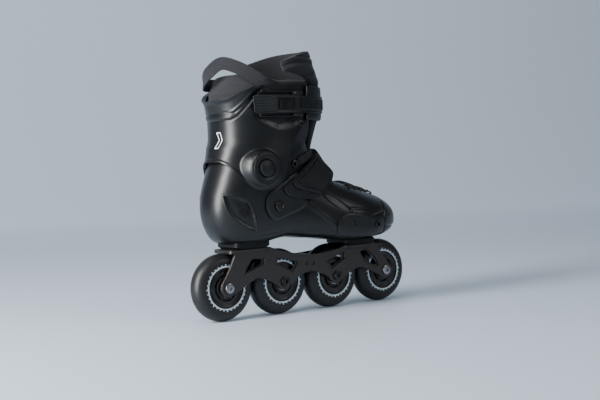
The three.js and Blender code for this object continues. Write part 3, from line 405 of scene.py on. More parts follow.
def join(name, pieces):
    """Several new pieces as one mesh."""
    work = bmesh.new()
    for piece in pieces:
        work.from_mesh(piece.data)
        bpy.data.objects.remove(piece)
    mesh = bpy.data.meshes.new(name)
    work.to_mesh(mesh)
    work.free()
    return link(name, mesh)


def plate(name, outline, holes, y0, y1, edge):
    """A flat side-view shape with holes, from y0 to y1, with rounded edges."""
    curve = bpy.data.curves.new(name, "CURVE")
    curve.dimensions = "2D"
    curve.fill_mode = "BOTH"
    for shape in [outline, *holes]:
        spline = curve.splines.new("POLY")
        spline.points.add(len(shape) - 1)
        flat = np.column_stack([shape, np.zeros(len(shape)), np.ones(len(shape))])
        spline.points.foreach_set("co", flat.ravel())
        spline.use_cyclic_u = True
    curve.extrude = (y1 - y0) / 2 - edge
    curve.bevel_depth = edge
    curve.bevel_resolution = 2
    curve.offset = -edge
    holder = bpy.data.objects.new(name, curve)
    bpy.context.scene.collection.objects.link(holder)
    bpy.context.view_layer.update()
    mesh = bpy.data.meshes.new_from_object(holder.evaluated_get(bpy.context.evaluated_depsgraph_get()))
    bpy.data.objects.remove(holder)
    place = Matrix.Translation((0, (y0 + y1) / 2 * MM, 0)) @ Matrix.Scale(MM, 4) @ Matrix.Rotation(math.pi / 2, 4, "X")
    mesh.transform(place)
    return link(name, mesh)


def block(name, x0, x1, y0, y1, z0, z1, edge=0.8):
    """A plate level with the floor with rounded corners: a superellipse outline carried up."""
    a = np.linspace(0, 2 * np.pi, 72, endpoint=False)
    power = 2 / 9.0
    px = (x0 + x1) / 2 + (x1 - x0) / 2 * np.sign(np.cos(a)) * np.abs(np.cos(a)) ** power
    py = (y0 + y1) / 2 + (y1 - y0) / 2 * np.sign(np.sin(a)) * np.abs(np.sin(a)) ** power
    heights = [z0, z0, z0 + edge, z1 - edge, z1, z1]
    shrink = [0.001, 1 - edge / 20, 1, 1, 1 - edge / 20, 0.001]
    cx, cy = (x0 + x1) / 2, (y0 + y1) / 2
    rows = [np.stack([cx + (px - cx) * k, cy + (py - cy) * k, 0 * px + z], -1) for z, k in zip(heights, shrink)]
    return closed_grid(name, np.stack(rows))


# ------------------------------------------------------------------ materials
def group(name, inputs, outputs):
    """An empty shader node group with named sockets, and its input and output nodes."""
    tree = bpy.data.node_groups.new(name, "ShaderNodeTree")
    for label, kind, value in inputs:
        socket = tree.interface.new_socket(name=label, in_out="INPUT", socket_type=kind)
        if value is not None:
            socket.default_value = value
    for label, kind in outputs:
        tree.interface.new_socket(name=label, in_out="OUTPUT", socket_type=kind)
    return tree, tree.nodes.new("NodeGroupInput"), tree.nodes.new("NodeGroupOutput")


def math_node(tree, operation, a, b=None, clamp=False):
    """A Math node from sockets or numbers; returns its output."""
    node = tree.nodes.new("ShaderNodeMath")
    node.operation = operation
    node.use_clamp = clamp
    for socket, value in zip(node.inputs, (a, b)):
        if value is None:
            continue
        if isinstance(value, (int, float)):
            socket.default_value = value
        else:
            tree.links.new(value, socket)
    return node.outputs[0]


def noise(tree, vector, scale, detail=3.0, rough=0.5):
    """A Noise Texture; returns its factor."""
    node = tree.nodes.new("ShaderNodeTexNoise")
    tree.links.new(vector, node.inputs["Vector"])
    if isinstance(scale, (int, float)):
        node.inputs["Scale"].default_value = scale
    else:
        tree.links.new(scale, node.inputs["Scale"])
    node.inputs["Detail"].default_value = detail
    node.inputs["Roughness"].default_value = rough
    return node.outputs["Fac"]


def surface_group():
    """Moulded surface: fine grain for bump, slow cloudiness for gloss, and light handling marks."""
    tree, start, end = group(
        "Moulded surface",
        [("Vector", "NodeSocketVector", None), ("Grain scale", "NodeSocketFloat", 900.0)],
        [("Height", "NodeSocketFloat"), ("Cloud", "NodeSocketFloat"), ("Marks", "NodeSocketFloat")],
    )
    vector = start.outputs["Vector"]
    grain = noise(tree, vector, start.outputs["Grain scale"], 2.0)
    cloud = noise(tree, vector, 14.0, 4.0, 0.6)
    scuff = noise(tree, vector, 160.0, 6.0, 0.75)
    marks = math_node(tree, "MULTIPLY", math_node(tree, "SUBTRACT", scuff, 0.62, True), 3.0, True)
    tree.links.new(grain, end.inputs["Height"])
    tree.links.new(cloud, end.inputs["Cloud"])
    tree.links.new(marks, end.inputs["Marks"])
    return tree


def weave_group():
    """Woven cloth: two crossed sets of threads, u and v, at a thread count per metre.

    Height is the larger of sin^2 of each direction where the other passes under.
    """
    tree, start, end = group(
        "Woven cloth",
        [("Vector", "NodeSocketVector", None), ("Threads", "NodeSocketFloat", 900.0)],
        [("Height", "NodeSocketFloat"), ("Shade", "NodeSocketFloat")],
    )
    split = tree.nodes.new("ShaderNodeSeparateXYZ")
    tree.links.new(start.outputs["Vector"], split.inputs[0])
    waves = []
    for axis in (0, 1):
        turns = math_node(tree, "MULTIPLY", split.outputs[axis], start.outputs["Threads"])
        waves.append(math_node(tree, "SINE", math_node(tree, "MULTIPLY", turns, 2 * math.pi)))
    over = math_node(tree, "MULTIPLY", waves[0], waves[1])
    height = math_node(tree, "ADD", math_node(tree, "MULTIPLY", over, 0.5), 0.5)
    fuzz = noise(tree, start.outputs["Vector"], 700.0, 3.0)
    tree.links.new(height, end.inputs["Height"])
    shade = math_node(tree, "ADD", math_node(tree, "MULTIPLY", height, 0.35), math_node(tree, "MULTIPLY", fuzz, 0.65))
    tree.links.new(shade, end.inputs["Shade"])
    return tree


GROUPS = {}


def placed_group(tree, key, maker, vector, **values):
    """Puts a shared group into a material with its own values."""
    if key not in GROUPS:
        GROUPS[key] = maker()
    node = tree.nodes.new("ShaderNodeGroup")
    node.node_tree = GROUPS[key]
    tree.links.new(vector, node.inputs["Vector"])
    for label, value in values.items():
        node.inputs[label.replace("_", " ")].default_value = value
    return node


def mixed_colour(tree, factor, dark, light):
    """A colour between dark and light by a factor."""
    node = tree.nodes.new("ShaderNodeMix")
    node.data_type = "RGBA"
    tree.links.new(factor, node.inputs[0])
    node.inputs["A"].default_value = (*dark, 1)
    node.inputs["B"].default_value = (*light, 1)
    return node.outputs["Result"]


def ranged(tree, value, low, high):
    """A 0 to 1 value spread between low and high."""
    return math_node(tree, "ADD", math_node(tree, "MULTIPLY", value, high - low), low)


def new_material(name, uv=False):
    """A material, its node tree, its shader and its coordinates."""
    material = bpy.data.materials.new(name)
    material.use_nodes = True
    tree = material.node_tree
    shader = tree.nodes["Principled BSDF"]
    where = tree.nodes.new("ShaderNodeTexCoord").outputs["UV" if uv else "Object"]
    return material, tree, shader, where


def bump(tree, shader, height, strength, distance):
    """Leads a height through a Bump node into the shader's normal."""
    node = tree.nodes.new("ShaderNodeBump")
    node.inputs["Strength"].default_value = strength
    node.inputs["Distance"].default_value = distance
    tree.links.new(height, node.inputs["Height"])
    tree.links.new(node.outputs["Normal"], shader.inputs["Normal"])


def plastic(name, colour, rough, grain=900.0, strength=0.12, metallic=0.0, spread=0.08, gloss=0.5):
    """Moulded plastic, painted or anodised metal: cloudy gloss, fine grain and faint marks."""
    material, tree, shader, where = new_material(name)
    node = placed_group(tree, "surface", surface_group, where, Grain_scale=grain)
    light = tuple(min(1, c * 1.5 + 0.004) for c in colour)
    tree.links.new(mixed_colour(tree, node.outputs["Marks"], colour, light), shader.inputs["Base Color"])
    tree.links.new(ranged(tree, node.outputs["Cloud"], rough - spread, rough + spread), shader.inputs["Roughness"])
    shader.inputs["Metallic"].default_value = metallic
    shader.inputs["Specular IOR Level"].default_value = gloss
    bump(tree, shader, node.outputs["Height"], strength, 0.0003)
    return material


def cloth(name, colour, threads, strength=0.5, sheen=0.25):
    """Woven or knitted cloth on the piece's own UV map, with a soft sheen."""
    material, tree, shader, where = new_material(name, uv=True)
    node = placed_group(tree, "weave", weave_group, where, Threads=threads)
    dark = tuple(c * 0.55 for c in colour)
    light = tuple(c * 1.6 for c in colour)
    tree.links.new(mixed_colour(tree, node.outputs["Shade"], dark, light), shader.inputs["Base Color"])
    tree.links.new(ranged(tree, node.outputs["Shade"], 0.98, 0.82), shader.inputs["Roughness"])
    shader.inputs["Sheen Weight"].default_value = sheen
    shader.inputs["Sheen Roughness"].default_value = 0.4
    bump(tree, shader, node.outputs["Height"], strength, 0.0004)
    return material


MATERIALS = {}


def finish(name):
    """The named finish, made the first time it is asked for."""
    if name not in MATERIALS:
        MATERIALS[name] = make_finish(name, bpy.context.scene.skate_colours)
    return MATERIALS[name]


def make_finish(name, colours):
    """Builds the named finish from the panel's colours."""
    black = tuple(colours.plastic)
    cloth_colour = tuple(colours.cloth)
    table = {
        "shell_plastic": lambda: plastic("Satin shell plastic", black, 0.33, 1500, 0.08, gloss=0.38),
        "nylon": lambda: plastic("Grained nylon", tuple(c * 0.9 for c in black), 0.42, 1100, 0.25, gloss=0.4),
        "dark_nylon": lambda: plastic("Dark nylon", tuple(c * 0.6 for c in black), 0.55, 1100, 0.3, gloss=0.25),
        "urethane": lambda: plastic("Black urethane", (0.009, 0.009, 0.010), 0.42, 700, 0.08, gloss=0.4),
        "core": lambda: plastic("Wheel core plastic", (0.012, 0.010, 0.010), 0.4, 900, 0.15, gloss=0.4),
        "anodised": lambda: plastic("Dark anodised metal", tuple(colours.metal), 0.38, 2200, 0.12, metallic=0.9),
        "steel": lambda: plastic("Turned steel", (0.30, 0.30, 0.31), 0.3, 2600, 0.1, metallic=1.0),
        "dark_steel": lambda: plastic("Blackened steel", (0.045, 0.043, 0.042), 0.33, 2600, 0.1, metallic=1.0),
        "print": lambda: plastic("Wheel print", tuple(colours.print_colour), 0.55, 1500, 0.05),
        "mark": lambda: plastic("White mark", (0.75, 0.77, 0.78), 0.5, 1500, 0.05),
        "rubber": lambda: plastic("Matt rubber", (0.008, 0.008, 0.009), 0.6, 1300, 0.4, gloss=0.3),
        "liner": lambda: cloth("Liner knit", cloth_colour, 640, 0.5, 0.08),
        "lining": lambda: cloth("Inner lining", tuple(c * 0.8 for c in cloth_colour), 900, 0.35, 0.1),
        "webbing": lambda: cloth("Strap webbing", tuple(c * 0.9 for c in cloth_colour), 420, 0.7, 0.05),
        "foam": lambda: cloth("Insole cloth", (0.03, 0.03, 0.032), 800, 0.3, 0.2),
        "cord": lambda: cloth("Braided cord", (0.02, 0.02, 0.022), 700, 0.9, 0.2),
    }
    return table[name]()


def paint(node, name):
    """A CAD node keeps its shape and gets a finish."""
    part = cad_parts[node]
    if not part.material_slots:
        part.data.materials.append(finish(name))
    for place in part.material_slots:
        place.material = finish(name)


# ------------------------------------------------------------------ wheels
def tyre_profile():
    """Closed cross-section of the tyre: a bullet-shaped tread and nearly flat side walls."""
    half = np.array([
        [23.75, 9.4], [23.9, 11.0], [24.5, 11.6], [28, 11.9], [31, 11.8], [34, 10.9], [36.8, 8.7],
        [38.8, 5.4], [39.7, 2.4], [40, 0],
    ])
    fine = section_at(half, np.linspace(0, len(half) - 1, 46))
    back = fine[:-1][::-1] * [1, -1]
    inner = np.column_stack([np.full(6, 23.75), np.linspace(-9.4, 9.4, 8)[1:-1]])
    return np.concatenate([fine, back, inner])


def core_profile():
    """Closed cross-section of the wheel core: bearing seat, recess and dished outer flange."""
    half = np.array([
        [11.05, 12.0], [12.8, 12.0], [13.1, 11.7], [13.2, 7.6], [15.2, 7.6], [15.5, 10.2], [15.9, 10.7],
        [19.5, 10.5], [22.6, 10.9], [23.3, 10.6], [23.5, 9.4],
    ])
    back = half[::-1] * [1, -1]
    return np.concatenate([half, back])


def core_ripple(radius, y, angle):
    """Six ribs cross the recess and shallow pockets lie between them on the flange."""
    rib = smooth(0.90, 0.96, np.abs(np.cos(3 * angle)))
    in_recess = (radius > 13.15) & (radius < 15.4)
    y = np.where(in_recess, np.sign(y) * (np.abs(y) + 2.4 * rib), y)
    on_flange = (radius > 16.5) & (radius < 21)
    return np.where(on_flange, np.sign(y) * (np.abs(y) - 0.7 * (1 - rib)), y)


def print_ring(name, x, side):
    """The wheel's printed ring: a thin band with small outward teeth and a few gaps.

    Each bar is an arc between two radii; the band is 64 bars long, every second one has a tooth.
    """
    steps = np.linspace(-0.5, 0.5, 4)
    count = 64
    low, high = size("print_inner"), size("print_outer")
    bars = []
    for k in range(count):
        near_gap = k % 21 in (4, 9)
        bars.append((k, low, high, 0.45 if near_gap else 1.0))
        if k % 2 == 0:
            bars.append((k, high - 0.2, high + (1.4 if k % 8 else 2.1), 0.55))
    pieces = []
    for number, (k, near, far, width) in enumerate(bars):
        a = (k + steps * width) * 2 * np.pi / count
        r = np.array([near, far])[:, None]
        outer = np.stack([x + r * np.cos(a), side * np.full((2, 4), 12.0), AXLE_Z + r * np.sin(a)], -1)
        inner = outer - [0, side * 0.6, 0]
        pieces.append(slab(f"{name}_{number}", outer, inner))
    return join(name, pieces)


def axle_head(name, x):
    """A countersunk axle head with a six-sided socket, and its shaft."""
    face, end = -17.8, -20.2
    profile = np.array([
        [0.01, end + 1.9], [2.5, end + 1.9], [2.6, end + 0.3], [2.9, end], [5.0, end], [5.7, end + 0.35],
        [6.0, end + 1.0], [6.0, face], [3.95, face], [3.95, 17.4], [0.01, 17.4],
    ])
    return turned(name, profile, x, AXLE_Z, 48)


def build_wheels():
    """Tyres and cores turned from their profiles, printed rings, bearing shields and axle heads."""
    for number, x in enumerate(AXLES, 1):
        body = f"wheel_{number}"
        tyre = turned(f"tyre_{number}", tyre_profile(), x, AXLE_Z, 128)
        finish_piece(tyre, finish("urethane"), body, [f"wheel_{number}_tyre"])
        core = turned(f"wheel_core_{number}", core_profile(), x, AXLE_Z, 144, core_ripple)
        finish_piece(core, finish("core"), body, [f"wheel_{number}_core"], 30)
        for side, word in SIDES:
            ring = print_ring(f"wheel_print_{number}_{word}", x, side)
            finish_piece(ring, finish("print"), body)
            shield = turned(
                f"bearing_shield_{number}_{word}",
                [[4.3, side * 12.2], [7, side * 12.2], [7.3, side * 12.0], [10.4, side * 12.0],
                 [10.9, side * 12.25], [10.9, side * 11.6], [4.3, side * 11.6]],
                x, AXLE_Z, 48,
            )
            finish_piece(shield, finish("dark_steel"), body)
        for side in ("outer_side", "inner_side"):
            paint(f"wheel_{number}_bearing_{side}", "steel")
        paint(f"wheel_{number}_bearing_spacer", "steel")
        head = axle_head(f"axle_{number}", x)
        bright = "steel" if number in (1, 4) else "dark_steel"
        finish_piece(head, finish(bright), ROOT, [f"axle_bolt_{number}"])


# ------------------------------------------------------------------ frame
def bend(start, middle, end, count=14):
    """Points of the parabola (1-t)^2 start + 2t(1-t) middle + t^2 end, without its last."""
    t = np.linspace(0, 1, count, endpoint=False)[:, None]
    return (1 - t) ** 2 * np.array(start) + 2 * t * (1 - t) * np.array(middle) + t**2 * np.array(end)


def arc(centre, radius, start, end, count=22):
    """Points of a circle: centre + radius (cos a, sin a)."""
    a = np.linspace(start, end, count)
    return np.column_stack([centre[0] + radius * np.cos(a), centre[1] + radius * np.sin(a)])


def wall_outline():
    """The frame wall: four legs that end in round eyes, joined by arches."""
    rear, second, third, front = AXLES
    r, eye, z = 10.5, 9.7, AXLE_Z
    return np.concatenate([
        [[rear + 11.5, 84]],
        bend((rear + 60.5, 84), (second + 8, z + 33), (0, z + 30)),
        bend((0, z + 30), (third - 4, z + 31), (third + 14, 77)),
        bend((front - 16.5, 77), (front - 5, z + 21), (front + r * 0.8, z + r * 0.6)),
        arc((front, z), r, 0.64, -1.9),
        bend((front + r * -0.32, z - r * 0.95), ((third + front) / 2 + 20, z), ((third + front) / 2, z + 7.5))[1:],
        bend(((third + front) / 2, z + 7.5), (third + 20, z + 5), (third + eye * 0.8, z - eye * 0.6)),
        arc((third, z), eye, -0.64, -math.pi + 0.64),
        bend((third - eye * 0.8, z - eye * 0.6), (third - 20, z + 7), (0, z + 9.5))[1:],
        bend((0, z + 9.5), (second + 20, z + 7), (second + eye * 0.8, z - eye * 0.6)),
        arc((second, z), eye, -0.64, -math.pi + 0.64),
        bend((second - eye * 0.8, z - eye * 0.6), (second - 20, z + 5), ((rear + second) / 2, z + 8.5))[1:],
        bend(((rear + second) / 2, z + 8.5), (rear + 24, z), (rear + r * 0.33, z - r * 0.94)),
        arc((rear, z), r, -1.24, -math.pi - 0.5),
        bend((rear - r * 0.88, z + r * 0.48), (rear + 7, z + 28), (rear + 11.5, 84))[1:],
    ])


WINDOWS = [
    [[-87, 71.5], [-71, 70.5], [-73, 64], [-98, 55]],
    [[-51, 70], [-21, 63], [-29, 52], [-50, 63]],
    [[25, 59.5], [52, 68], [51, 60], [34, 51.5]],
    [[80, 67], [90, 69], [101, 59], [108.5, 49], [104, 47.5], [87, 56]],
]
SLOTS = [[[-9, 62], [-3, 61], [-3, 57], [-9, 58]], [[1, 61], [7, 61], [7, 57], [1, 57]]]


def grown(shape, by):
    """A polygon with each corner moved out from its middle by a distance, with rounded corners."""
    shape = np.asarray(shape, float)
    middle = shape.mean(axis=0)
    away = shape - middle
    away /= np.linalg.norm(away, axis=1, keepdims=True)
    wide = shape + away * by
    before, after = np.roll(wide, 1, 0), np.roll(wide, -1, 0)

    def towards(a, b):
        length = np.linalg.norm(b - a, axis=1, keepdims=True)
        return a + (b - a) * np.minimum(3.4, 0.45 * length) / length

    rounded = [bend(p, c, n, 6) for p, c, n in zip(towards(wide, before), wide, towards(wide, after))]
    return np.concatenate(rounded)


def build_frame():
    """Two walls cut from flat shapes, a second skin with wider windows, eyes, decks and mount blocks."""
    outline = wall_outline()
    pieces = []
    for side in (-1, 1):
        low, step, high = 14.1, 15.4, 17.5
        inner_wall = sorted([side * low, side * (step + 0.1)])
        outer_skin = sorted([side * step, side * high])
        holes = [grown(w, -0.6) for w in WINDOWS]
        wide = [grown(w, size("window_border")) for w in WINDOWS] + [grown(w, 0) for w in SLOTS]
        pieces.append(plate(f"wall_{side}", outline, holes, *inner_wall, 0.3))
        pieces.append(plate(f"skin_{side}", outline, wide, *outer_skin, 0.9))
        for k, x in enumerate(AXLES):
            ring = [[4.15, 12.7], [6.3, 12.7], [6.5, 13.0], [6.5, 14.3], [4.15, 14.3]]
            pieces.append(turned(f"eye_{side}_{k}", [[r, side * y] for r, y in ring], x, AXLE_Z, 40))
            if side > 0:
                nut = [[4.15, 17.4], [7.6, 17.4], [7.9, 17.8], [7.6, 18.1], [4.15, 18.1]]
                pieces.append(turned(f"eye_rim_{k}", nut, x, AXLE_Z, 40))
    rear, second, third, front = AXLES
    pieces.append(block("heel_deck", rear + 3, second - 20, -20, 20, 79, 84))
    pieces.append(block("toe_deck", third + 13, front - 16, -20, 20, 72, 77))
    pieces.append(block("bridge", -7, 7, -14.4, 14.4, 63, 69.5))
    made = join("frame_metal", pieces)
    finish_piece(made, finish("anodised"), ROOT, ["frame"], 30)
    for node in ("rear_mount_bolt", "front_mount_bolt"):
        paint(node, "steel")
    for node, deck in (("rear_mount_block", 84.3), ("front_mount_block", 77.3)):
        low, high = (np.array(corner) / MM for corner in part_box(node))
        piece = block(f"{node}_moulded", low[0], high[0], low[1], high[1], deck, high[2] - 0.2, 2.2)
        finish_piece(piece, finish("dark_nylon"), ROOT, [node])


# ------------------------------------------------------------------ shell
SLOT_TIP = 103.0


def slot_half(x):
    """Half width of the instep slot at x: round at its toe end, then widening to the ankle."""
    end = 10 * np.sqrt(np.clip(1 - ((x - (SLOT_TIP - 10)) / 10) ** 2, 0, 1))
    return np.where(x > SLOT_TIP - 10, end, np.interp(x, [30, SLOT_TIP - 10], [24, 10]))


def polygon_distance(px, pz, shape):
    """Signed distance to a polygon, negative inside."""
    shape = np.asarray(shape, float)
    best = np.full(px.shape, 1e9)
    inside = np.zeros(px.shape, bool)
    for (ax, az), (bx, bz) in zip(shape, np.roll(shape, -1, 0)):
        ex, ez = bx - ax, bz - az
        t = np.clip(((px - ax) * ex + (pz - az) * ez) / (ex * ex + ez * ez), 0, 1)
        best = np.minimum(best, np.hypot(px - ax - t * ex, pz - az - t * ez))
        crosses = (az > pz) != (bz > pz)
        at_x = ax + (pz - az) * ex / np.where(ez == 0, 1e-9, ez)
        inside ^= crosses & (px < at_x)
    return np.where(inside, -best, best)


def line_distance(px, pz, line):
    """Distance to an open line of points in the side view."""
    best = np.full(px.shape, 1e9)
    for (ax, az), (bx, bz) in zip(line[:-1], line[1:]):
        ex, ez = bx - ax, bz - az
        t = np.clip(((px - ax) * ex + (pz - az) * ez) / (ex * ex + ez * ez), 0, 1)
        best = np.minimum(best, np.hypot(px - ax - t * ex, pz - az - t * ez))
    return best


# Side-view shapes and lines on the shell, as [x, z].
HEEL_VENT = [
    [-129, 148], [-117, 146.5], [-105, 139.5], [-98, 127], [-93.5, 107], [-103, 109.5], [-112, 115],
    [-121, 123], [-127, 134],
]
VENT_GRID = [[-119, 139.5], [-105, 136.5], [-102.5, 127], [-106, 121], [-115, 126.5]]
LEAF = [[4, 144.5], [13, 144.5], [24, 138], [36, 129], [42, 122.5], [38, 120], [28, 123.5], [17, 130.5], [8, 138]]
CAP_LINE = [[106, 137], [103.5, 128], [101, 120], [99, 110], [98.5, 99], [100, 84]]
BAND_TOP = [[41, 124.5], [59, 122.5], [80, 121.5], [101, 120.5]]
BAND_LOW = [[40, 117], [57, 113.5], [77, 113], [99, 117]]
SPLIT = [[41, 125], [40.5, 113]]
RIDGE = [[-21, 135], [-9, 126.5], [6, 115.5], [18, 106], [23, 98]]
SOLE_LINE = [[141, 100], [128, 97.5], [112, 98], [99, 100]]
SIDE_LINE = [[18, 97], [-10, 101], [-45, 104], [-80, 101], [-108, 97]]


def shell_relief(points):
    """How deep each point of the shell is pressed in, in millimetres."""
    x, y, z = points[..., 0], np.abs(points[..., 1]), points[..., 2]
    side = smooth(8, 16, y)

    def cut(line, depth, half):
        return depth * (1 - smooth(half * 0.3, half, line_distance(x, z, line)))

    deep = 2.5 * (1 - smooth(-1.4, 0.6, polygon_distance(x, z, HEEL_VENT))) * side
    deep += 0.8 * (1 - smooth(-1.6, 0.6, polygon_distance(x, z, LEAF))) * side
    deep += cut(CAP_LINE, 1.9, 2.4) + cut(SOLE_LINE, 0.9, 2.0)
    deep += (cut(BAND_TOP, 0.9, 2.0) + cut(BAND_LOW, 1.3, 2.4) + cut(SPLIT, 1.0, 1.8)) * side
    deep += (cut(SIDE_LINE, 0.8, 2.2) - cut(RIDGE, 0.9, 3.0)) * side
    deep += 0.8 * smooth(184.5, 187.5, z) * smooth(-96, -104, x)
    return deep


def shell_grid(rows_toe=48, rows_rest=160, columns=216):
    """Places and angles of the shell's grid, whose borders follow the slot and the top edge."""
    tip = solve(np.array(3.0), np.array(6.0), lambda u: section_at(BOOT, u)[..., 0] <= SLOT_TIP)
    across = np.linspace(0, 1, columns)
    toe_u = np.linspace(0, tip, rows_toe)[:, None] + 0 * across
    toe_v = across[None, :] * 2 * np.pi + 0 * toe_u
    share = np.linspace(0, 1, rows_rest + 1)[1:, None]
    u = tip + share * (18 - tip) + 0 * across
    for _ in range(8):
        edge = solve(np.zeros(u.shape), np.full(u.shape, np.pi / 2), lambda w: slot_reached(u, w))
        v = edge + across * (2 * np.pi - 2 * edge)
        stop = solve(np.full(u.shape, float(tip)), np.full(u.shape, 19.0), lambda p: edge_reached(p, v))
        u = tip + share * (stop - tip)
    return np.concatenate([toe_u, u]), np.concatenate([toe_v, v]), rows_toe


def slot_reached(place, angle):
    """True where a point of the skin is outside the instep slot."""
    points = skin_at(BOOT, place, angle)
    return points[..., 1] - toe_lean(points[..., 0]) >= slot_half(points[..., 0])


def edge_reached(place, angle):
    """True where a point of the skin is above the shell's top edge."""
    points = skin_at(BOOT, place, angle)
    return points[..., 2] >= along(SHELL_EDGE, points[..., 0])


def nosed(points, bulge):
    """Adds rows that close the toe: the first ring shrinks to its middle and bulges forward."""
    first = points[0]
    middle = first[:-1].mean(axis=0)
    shares = np.array([0.004, 0.25, 0.5, 0.72, 0.88])[:, None, None]
    rows = middle + (first - middle) * shares
    rows[..., 0] += bulge * np.sqrt(1 - shares[..., 0] ** 2)
    return np.concatenate([rows, points])


def build_shell():
    """The shell: its skin pressed in by shell_relief, its inner face, and the vent's rim and grid."""
    u, v, tip_row = shell_grid()
    plain = skin_at(BOOT, u, v)
    relief = shell_relief(plain)
    outer = nosed(skin_at(BOOT, u, v, relief), 1.6)
    first = np.maximum(u, 0.9)
    inner = nosed(skin_at(BOOT, first, v, size("shell_wall")), 0.5)
    for grid, face in ((outer, SHELL_PAD_Y), (inner, SHELL_PAD_Y - 4)):
        pad = np.hypot(grid[..., 0] - PIVOT_X, grid[..., 2] - PIVOT_Z) < PAD_RADIUS
        grid[..., 1] = np.where(pad, np.sign(grid[..., 1]) * face, grid[..., 1])
    shell = slab("shell_moulded", outer, inner, weld_rows=tip_row + 5, cap_start=True)
    bevel(shell, 0.8, 2, 50)
    finish_piece(shell, finish("shell_plastic"), ROOT, ["shell"], 60)
    for side, word in SIDES:
        rim = rim_slab(f"heel_vent_rim_{word}", HEEL_VENT, side, 1.7, -1.2, 0.5)
        finish_piece(rim, finish("shell_plastic"), ROOT, crease=40)
        mesh = wing_slab(f"heel_vent_grid_{word}", VENT_GRID, side, -3.2, -2.2, vent_ribs)
        finish_piece(mesh, finish("dark_nylon"), ROOT, crease=40)
        edge = rim_slab(f"leaf_rim_{word}", LEAF, side, 0.9, -0.8, 0.45)
        finish_piece(edge, finish("shell_plastic"), ROOT, crease=40)


def vent_ribs(px, pz, share):
    """Ribs of the vent's grid: fine ones cos^4 of height, crossed by wide cos^8 ones."""
    across = np.cos((px + pz) * np.pi / 9.0) ** 8
    upward = np.cos((pz - 0.3 * px) * np.pi / 3.2) ** 4
    return 0.9 * np.maximum(across, upward)


# ------------------------------------------------------------------ cuff
BUCKLE_WELL = [[-96, 272], [-94, 240], [-85, 232], [-64, 224.5], [-40, 227], [-22, 236], [-12, 280], [-60, 282]]
CREASE_LOW = [[-160, 234.5], [-121, 234.5], [-115, 235], [-110, 239], [-104, 248], [-97, 258], [-89, 266], [-83, 274]]
CREASE_HIGH = [[-160, 242], [-122, 242], [-113, 243.5], [-107, 250], [-99, 259], [-92, 267]]


def cuff_points(z, angle, depth):
    """The cuff's skin with its two pivot bosses, the groove round its back and its lip."""
    points = level_skin(CUFF, z, angle, depth)
    x, y = points[..., 0], np.abs(points[..., 1])
    outside = depth == 0
    if outside:
        height = points[..., 2]
        first = line_distance(x, height, CREASE_LOW)
        second = line_distance(x, height, CREASE_HIGH)
        form = 1.5 * np.exp(-((first / 1.3) ** 2)) + 0.9 * np.exp(-((second / 1.5) ** 2))
        form -= 0.9 * np.exp(-(((first + second - 7.5) / 3.0) ** 2)) * (first < 9)
        back = smooth(-84, -104, x)
        form += 1.5 * (1 - smooth(-4.0, 3.0, polygon_distance(x, height, BUCKLE_WELL)))
        form -= 0.8 * back * smooth(3.4, 0.8, np.abs(height - along(CUFF_LOW, x) - 1.6))
        form += 3.2 * back * smooth(206, 187, height)
        form -= 1.2 * back * smooth(5.5, 0.5, along(CUFF_HIGH, x) - height)
        points = level_skin(CUFF, z, angle, form)
        x, y = points[..., 0], np.abs(points[..., 1])
    radius = np.hypot(x - PIVOT_X, points[..., 2] - PIVOT_Z)
    if outside:
        boss = CUFF_FACE_Y - 62 * smooth(18, 44, radius)
        y = np.where(radius < 40, 0.5 * (y + boss + np.sqrt((y - boss) ** 2 + 0.8)), y)
        y = np.where(radius < PAD_RADIUS, CUFF_FACE_Y - 2.6 * (1 - smooth(17.4, 18.8, radius)), y)
    else:
        points = level_skin(CUFF, z, angle, depth + 2.0 * smooth(-84, -104, x) * smooth(206, 187, points[..., 2]))
        y = np.abs(points[..., 1])
        y = np.where(radius < 19.6, np.maximum(y, 46.9), y)
    points[..., 1] = np.sign(points[..., 1]) * y
    return points


